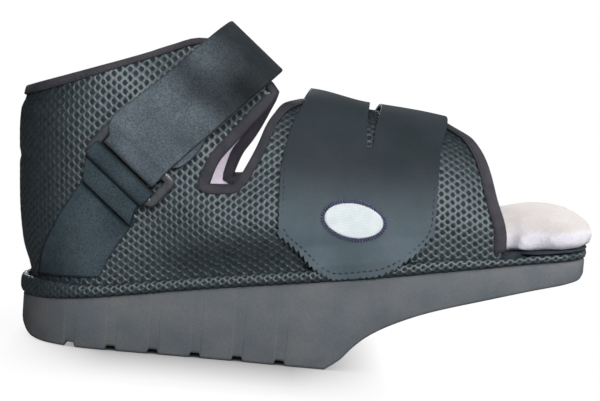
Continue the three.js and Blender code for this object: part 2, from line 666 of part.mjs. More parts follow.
// Strap ring: a flat plastic loop with rounded bars.
function makeRing() {
  const bevel = 0.9;
  const shape = roundedRect(
    new THREE.Shape(), ring.low + bevel, ring.bottom + bevel, ring.high - bevel, ring.top - bevel, ring.corner - bevel);
  const inner = ring.bar - bevel;
  shape.holes.push(roundedRect(
    new THREE.Path(), ring.low + inner, ring.bottom + inner, ring.high - inner, ring.top - inner, 2.2));
  const geometry = new THREE.ExtrudeGeometry(shape, {
    depth: ring.thick - 2 * bevel, bevelEnabled: true, bevelThickness: bevel, bevelSize: bevel,
    bevelSegments: 1, curveSegments: 4,
  });
  geometry.translate(0, 0, -(ring.thick - 2 * bevel) / 2);
  const frame = new THREE.Matrix4().makeBasis(
    new THREE.Vector3(across.x, 0, across.z),
    new THREE.Vector3(along.x, 0, along.z),
    new THREE.Vector3(0, -1, 0),
  );
  geometry.applyMatrix4(frame);
  geometry.translate(0, ringY, 0);
  return fromManifold(toManifold(geometry));
}

// Forefoot strap: a broad foot sewn down at the sole, and two fingers over the vamp to the far side.
const strapGrid = { rear: 5, front: 5, low: 7, high: 5, far: 6 };
function strapShare(i, t) {
  const lean = smooth(strap.slitRow, 1, t);
  const rearEdge = mix(0.52, 0.437, lean);
  const frontEdge = mix(0.562, 0.52, lean);
  if (i <= strapGrid.rear) return (rearEdge * i) / strapGrid.rear;
  return mix(frontEdge, 1, (i - strapGrid.rear - 1) / strapGrid.front);
}
function strapColumn(i) {
  const xAt = (t) => mix(strapRear(t), strapFront(t), strapShare(i, t));
  const share = strapShare(i, 0);
  const footX = xAt(0.1);
  const footZ = Math.max(strapFoot(share), soleTop(footX) + 0.6);
  const start = (footZ - soleTop(footX)) / (vampTop(footX) - soleTop(footX));
  const slit = turnAt(strap.slitRow);
  const far = THREE.MathUtils.degToRad(strap.farEnd);
  const turns = [];
  for (let j = 0; j < strapGrid.low; j++) turns.push(turnAt(mix(start, strap.slitRow, j / strapGrid.low)));
  for (let j = 0; j < strapGrid.high; j++) turns.push(mix(slit, Math.PI / 2, j / strapGrid.high));
  for (let j = 0; j <= strapGrid.far; j++) turns.push(mix(Math.PI / 2, far, j / strapGrid.far));
  return turns.map((turn) => onArch(turn, xAt));
}
// How far the strap's inner face stands off the vamp: over the band at its foot, and over the tape at the rear.
function strapOff(p) {
  const rise = p.z - soleTop(p.x);
  const foot = p.y < 0 ? 1 - smooth(band.side + 3, band.side + 13, rise) : 0;
  const top = smooth(0.55, 0.97, rise / (vampTop(p.x) - soleTop(p.x)));
  const bow = top * (3.4 * (1 - smooth(136, 166, p.x)) + 0.9 * smooth(170, 200, p.x));
  return strap.lift + foot * (wall.inset + band.bulge + gap - strap.lift) + bow + tape.thick * 0.6;
}
function makeForefootStrap() {
  const columns = [];
  for (let i = 0; i <= strapGrid.rear + 1 + strapGrid.front; i++) columns.push(strapColumn(i));
  const sheet = surface();
  addGrid(sheet, columns, (i, j) => i !== strapGrid.rear || j < strapGrid.low);
  return thicken(sheet, (p) => strapOff(p) + strap.thick, strapOff);
}

// Oval label: a blank patch on the forefoot strap.
function makeLabel() {
  const [rings, spokes] = [2, 24];
  const tilt = THREE.MathUtils.degToRad(label.tilt);
  const sheet = surface();
  const cells = [];
  for (let i = 0; i <= rings; i++) {
    const line = [];
    for (let k = 0; k <= spokes; k++) {
      const turn = ((k % spokes) / spokes) * 2 * Math.PI;
      const u = (label.long / 2) * Math.cos(turn) * (i / rings);
      const v = (label.high / 2) * Math.sin(turn) * (i / rings);
      const x = label.x + u * Math.cos(tilt) - v * Math.sin(tilt);
      line.push(onUpper(x, label.z + u * Math.sin(tilt) + v * Math.cos(tilt), 1));
    }
    cells.push(line);
  }
  addGrid(sheet, cells);
  const under = (p) => strapOff(p) + strap.thick + 2 * gap;
  return thicken(sheet, (p) => under(p) + label.thick, under);
}

// Colours, roughness and metalness of the pieces.
const looks = {
  outsole: { colour: 0x5f6469, rough: 0.8 },
  foxing: { colour: 0x59656a, rough: 0.9 },
  board: { colour: 0x23272b, rough: 0.9 },
  pad: { colour: 0xe1dee8, rough: 1 },
  mesh: { colour: 0x3c484c, rough: 0.9 },
  lining: { colour: 0xcdc3d0, rough: 1 },
  tape: { colour: 0x645f64, rough: 0.9 },
  velour: { colour: 0x454c51, rough: 1 },
  plastic: { colour: 0x6e6e70, rough: 0.35 },
  smooth: { colour: 0x464c50, rough: 0.7 },
  label: { colour: 0xf0f0f2, rough: 0.7 },
};

const pieces = [
  { name: "outsole", look: "outsole", make: makeOutsole },
  { name: "foxing_band", look: "foxing", make: makeBand },
  { name: "footbed_board", look: "board", make: makeBoard },
  { name: "insole_pad", look: "pad", make: makePad },
  { name: "mesh_upper", look: "mesh", make: makeUpper },
  { name: "lining", look: "lining", make: makeLining },
  { name: "throat_binding", look: "tape", make: makeThroatBinding },
  { name: "toe_binding", look: "tape", make: makeToeBinding },
  { name: "heel_panel_near", look: "velour", make: () => makeHeelPanel(-1) },
  { name: "heel_panel_far", look: "velour", make: () => makeHeelPanel(1) },
  { name: "ring_tab", look: "velour", make: makeRingTab },
  { name: "strap_ring", look: "plastic", make: makeRing },
  { name: "ankle_strap", look: "velour", make: makeAnkleStrap },
  { name: "forefoot_strap", look: "smooth", make: makeForefootStrap },
  { name: "oval_label", look: "label", make: makeLabel },
];

const shoe = new THREE.Group();
for (const piece of pieces) {
  const look = looks[piece.look];
  const material = new THREE.MeshStandardMaterial({ color: look.colour, roughness: look.rough, metalness: 0 });
  const mesh = new THREE.Mesh(piece.make(), material);
  mesh.name = piece.name;
  shoe.add(mesh);
}

// The frame's origin is under the middle of the whole shoe, on the floor.
const box = new THREE.Box3().setFromObject(shoe);
for (const mesh of shoe.children) mesh.geometry.translate(-(box.min.x + box.max.x) / 2, -(box.min.y + box.max.y) / 2, -box.min.z);

export default shoe;
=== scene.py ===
"""Forefoot offloading shoe: wedge sole, knitted mesh upper with an open toe, two straps and a fleece pad.

Sizes are in millimetres from the back of the sole, with +X to the toe and -Y to the side with the ring.
"""
import math
from bisect import bisect_right

import bpy
import bmesh
import numpy as np
from mathutils import Matrix, Vector, noise


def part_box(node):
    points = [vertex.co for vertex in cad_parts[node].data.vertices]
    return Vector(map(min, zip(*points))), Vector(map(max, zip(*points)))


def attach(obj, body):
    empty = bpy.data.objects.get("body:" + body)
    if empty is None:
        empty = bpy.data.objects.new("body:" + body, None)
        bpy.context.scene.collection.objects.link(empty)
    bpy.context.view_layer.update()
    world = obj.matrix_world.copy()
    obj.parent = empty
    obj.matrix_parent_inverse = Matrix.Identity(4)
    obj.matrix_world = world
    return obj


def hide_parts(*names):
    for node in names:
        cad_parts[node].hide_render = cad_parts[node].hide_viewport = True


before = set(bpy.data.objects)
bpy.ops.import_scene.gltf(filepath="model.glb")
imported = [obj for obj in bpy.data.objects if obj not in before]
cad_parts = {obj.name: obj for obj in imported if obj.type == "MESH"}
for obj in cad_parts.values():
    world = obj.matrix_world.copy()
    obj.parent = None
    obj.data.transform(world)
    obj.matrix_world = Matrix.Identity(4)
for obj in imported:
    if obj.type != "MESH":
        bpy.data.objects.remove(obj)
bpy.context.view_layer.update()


# Camera: a long lens level with the side of the shoe and a little above it. The picture leans, so the
# tread runs gently downhill to the toe.
scene = bpy.context.scene
view_point = Vector((-0.00772, -0.79473, 0.15349))
view_pitch = math.radians(5.6)
view_roll = math.radians(4.4)
view_right = Vector((math.cos(view_roll), 0, math.sin(view_roll)))
view_ahead = Vector((
    math.sin(view_pitch) * math.sin(view_roll),
    math.cos(view_pitch),
    -math.sin(view_pitch) * math.cos(view_roll),
))
view_up = view_right.cross(view_ahead)
view_axes = Matrix((view_right, view_up, -view_ahead)).transposed()


def put(name, data):
    """An object in the scene."""
    made = bpy.data.objects.new(name, data)
    scene.collection.objects.link(made)
    return made


lens = bpy.data.cameras.new("side_view")
lens.sensor_fit = "HORIZONTAL"
lens.sensor_width = 36
lens.lens = 95.64
lens.clip_start = 0.01
lens.clip_end = 100
camera = put("side_view", lens)
camera.matrix_world = Matrix.Translation(view_point) @ view_axes.to_4x4()
scene.camera = camera


# Outsole: one block of moulded grey foam rubber, thick under the heel and cut away under the forefoot.
# Six shallow grooves cross the tread, and every edge is softly rounded by the mould.
sole_low, sole_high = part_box("outsole")
heel_point = Vector((sole_low.x, (sole_low.y + sole_high.y) / 2, sole_low.z))
plan_length = 274.6
heel_half = 39.5
heel_depth = 42
heel_curl = 13
toe_depth = 26
toe_square = 4.4
toe_start = plan_length - toe_depth
ramp_start = 152
groove_middles = [28.5 + 20.4 * i for i in range(6)]
groove_mouth, groove_floor, groove_depth = 5.8, 4, 2.2


def curve(*rows):
    """A smooth line through rows of (from, to) that never overshoots them."""
    xs, ys = zip(*rows)
    slope = [(ys[i + 1] - ys[i]) / (xs[i + 1] - xs[i]) for i in range(len(xs) - 1)]
    bend = [0 if a * b <= 0 else 2 * a * b / (a + b) for a, b in zip(slope, slope[1:])]
    bend = [slope[0], *bend, slope[-1]]

    def at(value):
        if value <= xs[0]:
            return ys[0] + bend[0] * (value - xs[0])
        if value >= xs[-1]:
            return ys[-1] + bend[-1] * (value - xs[-1])
        i = bisect_right(xs, value) - 1
        span = xs[i + 1] - xs[i]
        u = (value - xs[i]) / span
        level = ys[i] * (1 + 2 * u) * (1 - u) ** 2 + ys[i + 1] * u * u * (3 - 2 * u)
        return level + span * (bend[i] * u * (1 - u) ** 2 - bend[i + 1] * u * u * (1 - u))

    return at


def mix(a, b, share):
    return a + (b - a) * share


def clamp(value, low=0.0, high=1.0):
    return max(low, min(high, value))


def ease(low, high, value):
    u = clamp((value - low) / (high - low))
    return u * u * (3 - 2 * u)


sole_top = curve(
    (-8, 20.4), (8, 21.2), (35, 24.4), (90, 33.2), (150, 42.3), (210, 52.6), (250, 59.1), (285, 63.8))
ramp = curve(
    (ramp_start, 0), (159, 5.4), (164.5, 11.8), (171, 17.8), (181, 24), (197, 31),
    (225, 39.6), (254, 47.6), (265, 50.4), (270.5, 52), (273, 53.6), (274.8, 56.4))
side = curve((42, 39.5), (100, 42.2), (150, 47.2), (195, 52), (225, 52), (251, 50.4), (279, 46))
heel_round = curve((0, 11), (0.8, 7), (3.2, 3.4), (7.4, 0.9), (heel_curl, 0))


def half_at(x):
    """Half the sole's width at x: a round heel, slowly widening sides and a square toe."""
    if x < heel_depth:
        return heel_half * math.sqrt(max(0, 1 - (1 - x / heel_depth) ** 2))
    if x > toe_start:
        share = min(1, (x - toe_start) / toe_depth)
        return side(toe_start) * max(0, 1 - share**toe_square) ** (1 / toe_square)
    return side(x)


def sole_bottom(x):
    if x >= ramp_start:
        return ramp(x)
    if x <= heel_curl:
        return heel_round(x)
    off = min(abs(x - middle) for middle in groove_middles)
    return groove_depth * clamp((groove_mouth / 2 - off) / ((groove_mouth - groove_floor) / 2))


def plan_outline(extra=()):
    """The plan outline as (x, y, normal x, normal y): heel to toe on the near side, then back on the far."""
    quarter = math.pi / 2
    stations = {0.0, plan_length, *extra}
    stations |= {heel_depth * (1 - math.cos(quarter * i / 22)) for i in range(23)}
    stations |= {mix(heel_depth, toe_start, i / 60) for i in range(61)}
    stations |= {toe_start + toe_depth * math.sin(quarter * i / 30) ** (2 / toe_square) for i in range(31)}
    xs = []
    for x in sorted(stations):
        if not xs or x - xs[-1] > 0.02:
            xs.append(x)
    near = [(0.0, 0.0), *((x, -half_at(x)) for x in xs[1:-1]), (plan_length, 0.0)]
    loop = near + [(x, -y) for x, y in near[-2:0:-1]]
    outline = []
    for i, (x, y) in enumerate(loop):
        before = loop[i - 1]
        after = loop[(i + 1) % len(loop)]
        run = math.hypot(after[0] - before[0], after[1] - before[1])
        outline.append((x, y, (after[1] - before[1]) / run, -(after[0] - before[0]) / run))
    return outline


def stacked(rings):
    """Faces of rings stacked upward, closed below and above by strips from the near to the far side."""
    size = len(rings[0])
    lid = (len(rings) - 1) * size
    faces = []
    for low in range(0, lid, size):
        for i in range(size):
            after = (i + 1) % size
            faces.append((low + i, low + after, low + size + after, low + size + i))
    for i in range(size // 2):
        strip = list(dict.fromkeys((i, i + 1, (size - i - 1) % size, (size - i) % size)))
        faces.append([lid + k for k in strip])
        faces.append(strip[::-1])
    return [p for ring in rings for p in ring], faces


def new_piece(name, points, faces, uv=None):
    """A smooth-shaded mesh object in the model's frame, from points in millimetres."""
    mesh = bpy.data.meshes.new(name)
    metres = np.asarray(points, float) / 1000 + np.array(heel_point)
    mesh.from_pydata(metres.tolist(), [], [list(face) for face in faces])
    if uv is not None:
        layer = mesh.uv_layers.new(name="UVMap")
        layer.data.foreach_set("uv", [c for face in uv for corner in face for c in corner])
    mesh.polygons.foreach_set("use_smooth", [True] * len(mesh.polygons))
    return put(name, mesh)


def solid(name, points, faces):
    """A closed piece, with its faces turned outward."""
    piece = new_piece(name, points, faces)
    made = bmesh.new()
    made.from_mesh(piece.data)
    bmesh.ops.recalc_face_normals(made, faces=made.faces)
    made.to_mesh(piece.data)
    made.free()
    return piece


def finish_piece(piece, finish, slot, *nodes):
    """Gives a piece its finish and ties it to the frame, in place of the solids it stands for."""
    piece.data.materials.clear()
    piece.data.materials.append(finish.material)
    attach(piece, "root")
    if nodes:
        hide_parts(*nodes)


def shade(*levels):
    """A colour as seen on a screen, 0 to 255, as the linear colour that shaders use."""
    shares = [level / 255 for level in levels]
    return (*(s / 12.92 if s <= 0.04045 else ((s + 0.055) / 1.055) ** 2.4 for s in shares), 1.0)


class Nodes:
    """Adds nodes to a tree. A socket is given a number, or a node or another socket to link from."""

    def __init__(self, tree):
        self.tree = tree

    def give(self, socket, value):
        if isinstance(value, bpy.types.Node):
            value = value.outputs[0]
        if isinstance(value, bpy.types.NodeSocket):
            self.tree.links.new(value, socket)
        else:
            socket.default_value = value

    def add(self, kind, values=None, **settings):
        node = self.tree.nodes.new(kind)
        for name, value in settings.items():
            setattr(node, name, value)
        for socket, value in (values or {}).items():
            self.give(node.inputs[socket], value)
        return node

    def calc(self, operation, *values):
        return self.add("ShaderNodeMath", dict(enumerate(values)), operation=operation)

    def vector(self, operation, *values):
        return self.add("ShaderNodeVectorMath", dict(enumerate(values)), operation=operation)

    def scale(self, vector, factor):
        return self.add("ShaderNodeVectorMath", {0: vector, 3: factor}, operation="SCALE")

    def parts(self, vector):
        return self.add("ShaderNodeSeparateXYZ", {0: vector}).outputs

    def spread(self, value, low, high, start=0, end=1, kind="LINEAR"):
        """Spreads low to high over start to end."""
        ends = {0: value, 1: low, 2: high, 3: start, 4: end}
        return self.add("ShaderNodeMapRange", ends, interpolation_type=kind)


def new_group(kind, name, inputs, outputs):
    """A node group with named sockets, and the sockets that bring values in and take them out."""
    tree = bpy.data.node_groups.new(name, kind)
    for label, socket, value in inputs:
        made = tree.interface.new_socket(label, in_out="INPUT", socket_type="NodeSocket" + socket)
        if value is not None:
            made.default_value = value
    for label, socket in outputs:
        tree.interface.new_socket(label, in_out="OUTPUT", socket_type="NodeSocket" + socket)
    return Nodes(tree), tree.nodes.new("NodeGroupInput").outputs, tree.nodes.new("NodeGroupOutput").inputs


# Mottle: two shades in soft patches, with a fine grain over them.
mottle, given, out = new_group(
    "ShaderNodeTree", "mottle",
    [("Vector", "Vector", None), ("Patch Scale", "Float", 60), ("Grain Scale", "Float", 1400),
     ("Shade", "Color", None), ("Tint", "Color", None), ("Grain Strength", "Float", 0.1)],
    [("Color", "Color"), ("Grain", "Float")])
patch, grain = (
    mottle.add("ShaderNodeTexNoise", {"Vector": given["Vector"], "Scale": given[scale], "Detail": detail})
    for scale, detail in (("Patch Scale", 3), ("Grain Scale", 2)))
share = mottle.spread(patch, 0.34, 0.66)
blend = mottle.add("ShaderNodeMix", {0: share, 6: given["Shade"], 7: given["Tint"]}, data_type="RGBA")
swing = mottle.calc("MULTIPLY", mottle.calc("SUBTRACT", grain, 0.5), given["Grain Strength"])
gain = mottle.calc("MULTIPLY_ADD", swing, 4.0, 1.0)
mottle.give(out["Color"], mottle.scale(blend.outputs[2], gain))
mottle.give(out["Grain"], grain)


class Finish(Nodes):
    """A material with its Principled shader, whose patterns read the piece's own coordinates.

    Look is the mottle's patch scale, grain scale, darker and lighter colour and grain strength; grainy is
    the depth and strength of its grain as a bump.
    """

    def __init__(self, name, roughness, look=None, sockets=None, grainy=None):
        self.material = bpy.data.materials.new(name)
        self.material.use_nodes = True
        super().__init__(self.material.node_tree)
        self.shader = self.tree.nodes["Principled BSDF"]
        for socket, value in {"Roughness": roughness, **(sockets or {})}.items():
            self.wear(socket, value)
        self.place = self.add("ShaderNodeTexCoord").outputs["Object"]
        if look:
            self.colour = self.mottled(*look)
            self.grain = self.colour.outputs["Grain"]
            self.wear("Base Color", self.colour)
        if grainy:
            self.bump(self.grain, *grainy)

    def wear(self, socket, value):
        self.give(self.shader.inputs[socket], value)

    def mottled(self, patch_scale, grain_scale, dark, light, strength):
        return self.add("ShaderNodeGroup", {
            "Vector": self.place, "Patch Scale": patch_scale, "Grain Scale": grain_scale,
            "Shade": shade(*dark), "Tint": shade(*light), "Grain Strength": strength}, node_tree=mottle.tree)

    def pattern(self, kind, scale, values=None, **settings):
        values = {"Vector": self.place, "Scale": scale, **(values or {})}
        return self.add("ShaderNodeTex" + kind, values, **settings)

    def bump(self, height, distance, strength, below=None):
        values = {"Height": height, "Distance": distance, "Strength": strength}
        if below is not None:
            values["Normal"] = below
        self.wear("Normal", self.add("ShaderNodeBump", values))


foam = Finish("sole_foam", 0.72, (70, 1500, (84, 91, 97), (98, 100, 103), 0.12))
# Painted light: the sole's colour is scaled from darker at the heel to brighter at the toe.
painted_toe_light = foam.spread(foam.parts(foam.place)[0], -0.14, 0.14, 0.83, 1.22)
foam.wear("Base Color", foam.scale(foam.colour, painted_toe_light))
foam.bump(foam.calc("ADD", foam.grain, foam.pattern("Voronoi", 900)), 0.00012, 0.5)

groove_steps = (groove_mouth / 2 + 0.4, groove_mouth / 2, groove_floor / 2, groove_floor / 2 - 0.4)
groove_edges = [middle + step * way for middle in groove_middles for step in groove_steps for way in (-1, 1)]
ramp_steps = [mix(150, 168, i / 18) for i in range(19)]
ramp_steps += [mix(267, plan_length - 0.1, i / 8) for i in range(9)]
heel_steps = (0.3, 0.9, 2, 3.4, 5, 7, 9, 11)
sole_outline = plan_outline([*groove_edges, *ramp_steps, *heel_steps])
sole_layers = (
    (1.6, sole_bottom, 0), (0.5, sole_bottom, 0.4), (0, sole_bottom, 1.6),
    (0, sole_top, -1.3), (0.4, sole_top, -0.4), (1.2, sole_top, 0))
sole_rings = [
    [(x - nx * inset, y - ny * inset, level(x) + rise) for x, y, nx, ny in sole_outline]
    for inset, level, rise in sole_layers]
finish_piece(solid("sole_block", *stacked(sole_rings)), foam, "sole", "outsole")


# Foxing band: a strip of the same knitted mesh rolled over a cord and stuck round the sole's top edge.
# It is tall and full round the heel and lower along the sides and at the toe.
gap = 0.35
band_inset = 2.6
band_bulge = curve((0, 1.6), (200, 1.6), (262, 0.5), (280, 0.5))
band_heel, band_side, band_toe = 8.6, 6, 3.7
band_sides = 20
band_square, band_flat = 1.1, 1.08
net_deep = 0.45
outline = plan_outline()


def band_height(x):
    return mix(mix(band_heel, band_side, ease(8, 45, x)), band_toe, ease(200, 242, x))


def band_point(p, turn, under=0.0):
    """A point of the band's round section; turn is 0 at the outermost line and grows upward."""
    x, y, nx, ny = p
    middle = (band_bulge(x) - band_inset) / 2
    reach = (band_bulge(x) + band_inset) / 2 - under
    out_by = middle + reach * clamp(math.cos(turn) * band_square, -1, 1)
    px = x + nx * out_by
    half = band_height(px) / 2
    lift = gap + half + (half - under) * clamp(math.sin(turn) * band_flat, -1, 1)
    return (px, y + ny * out_by, sole_top(px) + lift)


def swept(sections, closed):
    """Points and faces of a solid whose sections, rings of points, follow one another."""
    size = len(sections[0])
    count = len(sections)
    faces = []
    for i in range(count if closed else count - 1):
        after = (i + 1) % count
        for k in range(size):
            up = (k + 1) % size
            faces.append((i * size + k, after * size + k, after * size + up, i * size + up))
    if not closed:
        faces.append(list(range(size)))
        faces.append([(count - 1) * size + k for k in range(size - 1, -1, -1)])
    return [p for section in sections for p in section], faces


core_turns = [2 * math.pi * k / band_sides for k in range(band_sides)]
core_sections = [[band_point(p, turn, net_deep) for turn in core_turns] for p in outline]
band_core = solid("foxing_core", *swept(core_sections, True))

# The knitted net that covers the band and the upper: a flat sheet of six-sided meshes, each a ring of
# thread that dips into its hole, wrapped onto a form through the form's UV map.
cell_rings = ((1.0, 0.16), (0.84, 0.08), (0.6, -net_deep))


def make_cell(name, pitch, row):
    """One mesh of the net, with its ridge on the border that it shares with its neighbours."""
    reach = pitch / 2
    tip = (reach**2 + row**2) / (2 * reach)
    shoulder = (reach**2 - row**2) / (2 * reach)
    corners = [(tip, 0), (shoulder, row), (-shoulder, row), (-tip, 0), (-shoulder, -row), (shoulder, -row)]
    points = [(x * s / 1000, y * s / 1000, z / 1000) for s, z in cell_rings for x, y in corners]
    faces = []
    for start in range(0, 6 * (len(cell_rings) - 1), 6):
        for k in range(6):
            after = (k + 1) % 6
            faces.append((start + k, start + after, start + 6 + after, start + 6 + k))
    mesh = bpy.data.meshes.new(name)
    mesh.from_pydata(points, [], faces)
    return put(name, mesh)


net, given, out = new_group(
    "GeometryNodeTree", "knit_net",
    [("Form", "Geometry", None), ("Cell", "Object", None), ("Pitch", "Float", 0.0052),
     ("Row", "Float", 0.0019), ("Columns", "Int", 10), ("Rows", "Int", 11), ("Turn", "Float", 0.0),
     ("Waver", "Float", 0.001), ("Chart", "Float", 0.36), ("Thread", "Material", None)],
    [("Net", "Geometry")])
wide, tall = (
    net.calc("MULTIPLY", net.calc("SUBTRACT", given[count], 1.0), given[step])
    for count, step in (("Columns", "Pitch"), ("Rows", "Row")))
lattice = net.add("GeometryNodeMeshGrid", {
    "Size X": wide, "Size Y": tall, "Vertices X": given["Columns"], "Vertices Y": given["Rows"]})
where = net.add("GeometryNodeInputPosition")
_, up, height = net.parts(where)
row = net.calc("ROUND", net.calc("DIVIDE", up, given["Row"]))
odd = net.calc("FLOORED_MODULO", row, 2.0)
half_step = net.calc("MULTIPLY", net.calc("MULTIPLY", odd, given["Pitch"]), 0.5)
shift = net.add("ShaderNodeCombineXYZ", {0: half_step})
staggered = net.add("GeometryNodeSetPosition", {"Geometry": lattice, "Offset": shift})
cell = net.add("GeometryNodeObjectInfo", {"Object": given["Cell"]}).outputs["Geometry"]
cells = net.add("GeometryNodeInstanceOnPoints", {"Points": staggered, "Instance": cell})
flat_net = net.add("GeometryNodeRealizeInstances", {0: cells})
joined = net.add("GeometryNodeMergeByDistance", {"Geometry": flat_net, "Distance": 0.00005})
turned = net.add("ShaderNodeVectorRotate", {"Vector": where, "Angle": given["Turn"]}, rotation_type="Z_AXIS")
uneven = net.add("ShaderNodeTexNoise", {"Vector": where, "Scale": 150.0, "Detail": 2.0}).outputs["Color"]
pull = net.scale(net.vector("SUBTRACT", uneven, (0.5, 0.5, 0.5)), given["Waver"])
on_sheet = net.scale(net.vector("ADD", turned, pull), net.calc("DIVIDE", 1.0, given["Chart"]))
on_chart = net.vector("ADD", on_sheet, (0.5, 0.5, 0))
chart = net.add("GeometryNodeInputNamedAttribute", {"Name": "UVMap"}, data_type="FLOAT_VECTOR")
sample = {"Mesh": given["Form"], "UV Map": chart, "Sample UV": on_chart}
spot, lie = (
    net.add("GeometryNodeSampleUVSurface", {**sample, "Value": value}, data_type="FLOAT_VECTOR")
    for value in (where, net.add("GeometryNodeInputNormal")))
off_form = net.add("FunctionNodeBooleanMath", {0: spot.outputs["Is Valid"]}, operation="NOT")
cloth = net.add("GeometryNodeDeleteGeometry", {"Geometry": joined, "Selection": off_form}, domain="POINT")
for name, value, kind in (("chart_row", net.parts(on_chart)[1], "FLOAT"), ("cloth_lie", lie, "FLOAT_VECTOR")):
    cloth = net.add(
        "GeometryNodeStoreNamedAttribute", {"Geometry": cloth, "Name": name, "Value": value},
        data_type=kind, domain="POINT")
landed = net.vector("ADD", spot, net.scale(lie, height))
wrapped = net.add("GeometryNodeSetPosition", {"Geometry": cloth, "Position": landed})
rounded = net.add("GeometryNodeSetShadeSmooth", {"Geometry": wrapped})
net.give(out[0], net.add("GeometryNodeSetMaterial", {"Geometry": rounded, "Material": given["Thread"]}))


def keep_result(piece):
    """Makes what a piece's modifiers give its own plain mesh."""
    bpy.context.view_layer.update()
    seen = piece.evaluated_get(bpy.context.evaluated_depsgraph_get())
    made = bpy.data.meshes.new_from_object(seen)
    piece.modifiers.clear()
    old = piece.data
    piece.data = made
    bpy.data.meshes.remove(old)
    made.name = piece.name


def run_nodes(piece, tree, values):
    """Runs a geometry node tree on a piece, with its named inputs, and keeps the result."""
    modifier = piece.modifiers.new(tree.name, "NODES")
    modifier.node_group = tree
    for item in tree.interface.items_tree:
        if item.in_out == "INPUT" and item.name in values:
            modifier[item.identifier] = values[item.name]
    keep_result(piece)


# Its flattened threads shine where the cloth as a whole faces the light.
thread = Finish("net_thread", 0.52, (420, 2600, (8, 18, 21), (28, 43, 48), 0.5), {
    "IOR": 1.64, "Specular IOR Level": 1, "Specular Tint": (0.86, 0.96, 1, 1)})
cloth_lie = thread.add("ShaderNodeAttribute", attribute_name="cloth_lie").outputs["Vector"]
own_lie = thread.add("ShaderNodeNewGeometry").outputs["Normal"]
flattened = thread.add("ShaderNodeMix", {0: 0.62, 4: own_lie, 5: cloth_lie}, data_type="VECTOR")
thread.bump(thread.grain, 0.00015, 0.6, thread.vector("NORMALIZE", flattened.outputs[1]))
backing = Finish("net_backing", 0.9, (200, 2200, (22, 34, 38), (42, 55, 60), 0.2), grainy=(0.0002, 0.5))

steps_along = [0.0]
for before, after in zip(outline, [*outline[1:], outline[0]]):
    steps_along.append(steps_along[-1] + math.hypot(after[0] - before[0], after[1] - before[1]))
band_length = steps_along[-1]
band_chart = 800
band_row = 1.6
band_rows = 17
spare_columns = 8
band_pitch = band_length / round(band_length / 4.3)
band_cell = make_cell("band_cell", band_pitch, band_row)
band_turns = [math.radians(mix(-100, 150, k / 16)) for k in range(17)]
lap = 4
form_points, form_spots, form_faces = [], [], []
size = len(band_turns)
for i in range(len(outline) + 1 + lap):
    p = outline[i % len(outline)]
    u = steps_along[i] if i <= len(outline) else band_length + steps_along[i - len(outline)]
    rise = 0
    for k, turn in enumerate(band_turns):
        point = band_point(p, turn)
        if k:
            rise += math.dist(point, form_points[-1])
            if i:
                last, this = (i - 1) * size + k, i * size + k
                form_faces.append((last - 1, this - 1, this, last))
        form_points.append(point)
        form_spots.append(((u - band_length / 2) / band_chart + 0.5, (rise - 5) / band_chart + 0.5))
form_uv = [[form_spots[c] for c in face] for face in form_faces]
band_net = new_piece("foxing_net", form_points, form_faces, form_uv)
run_nodes(band_net, net.tree, {
    "Cell": band_cell, "Pitch": band_pitch / 1000, "Row": band_row / 1000, "Rows": band_rows,
    "Columns": int(band_length / band_pitch) + spare_columns, "Turn": 0.0, "Waver": 0.0008,
    "Chart": band_chart / 1000, "Thread": thread.material})
finish_piece(band_core, backing, "mesh", "foxing_band")
finish_piece(band_net, thread, "mesh")


# Footbed board: a stiff dark board wrapped in cloth. Inside the shoe it lies on the sole, and at the
# toe it rises over the band and sticks out under the pad.
board_thick = 5.4
board_lip = 1.1
lip_start = 242
lip_out = 0.5
board_rise = lip_start - 6
toe_run = 5
wall_inset = 3.7
wall_thick = 2.2
lining_thick = 1.2
tuck_side, tuck_arch = 1.4, 2.2
inside = wall_inset + wall_thick + lining_thick + 3 * gap + 0.3
lip_under = band_toe + 2.2 * gap
lip_rise = lip_under - board_thick + board_lip


def tuck_at(x):
    """How far the upper's foot is drawn in, most at the arch; what lies inside is narrower there too."""
    return tuck_side * ease(20, 60, x) + tuck_arch * ease(52, 85, x) * (1 - ease(150, 190, x))


def inside_at(x):
    return inside + tuck_at(x)


def plan_ring(inset, lift):
    """A ring of the plan outline, moved inward by inset(x) and lifted above the sole's top by lift(x)."""
    ring = []
    for x, y, nx, ny in outline:
        by = inset(x)
        px = x - nx * by
        ring.append((px, y - ny * by, sole_top(px) + lift(px)))
    return ring


def at_toe(x, start):
    return ease(start, start + toe_run, x)


def board_edge(inset):
    """The board's edge, inset from where it shows at the toe."""
    return lambda x: mix(inside_at(x), -lip_out, at_toe(x, lip_start)) + inset


def board_level(flat, lip):
    """A height in the board, flat inside the shoe and raised to the lip at the toe."""
    return lambda x: mix(flat, lip, at_toe(x, board_rise))


lip_top = board_thick + lip_rise
board_rings = [plan_ring(*layer) for layer in (
    (inside_at, lambda x: gap),
    (inside_at, board_level(board_thick - board_lip, lip_under)),
    (board_edge(0.4), board_level(board_thick - board_lip * 0.6, lip_under + 0.1)),
    (board_edge(0), board_level(board_thick - board_lip / 2, lip_under + board_lip * 0.5)),
    (board_edge(0.4), board_level(board_thick - 0.15, lip_top - 0.15)),
    (board_edge(1.4), board_level(board_thick, lip_top)))]
board_cloth = Finish("board_cloth", 0.8, (260, 1800, (34, 42, 50), (52, 60, 70), 0.3), grainy=(0.0005, 0.7))
finish_piece(solid("footbed_board_cloth", *stacked(board_rings)), board_cloth, "board", "footbed_board")


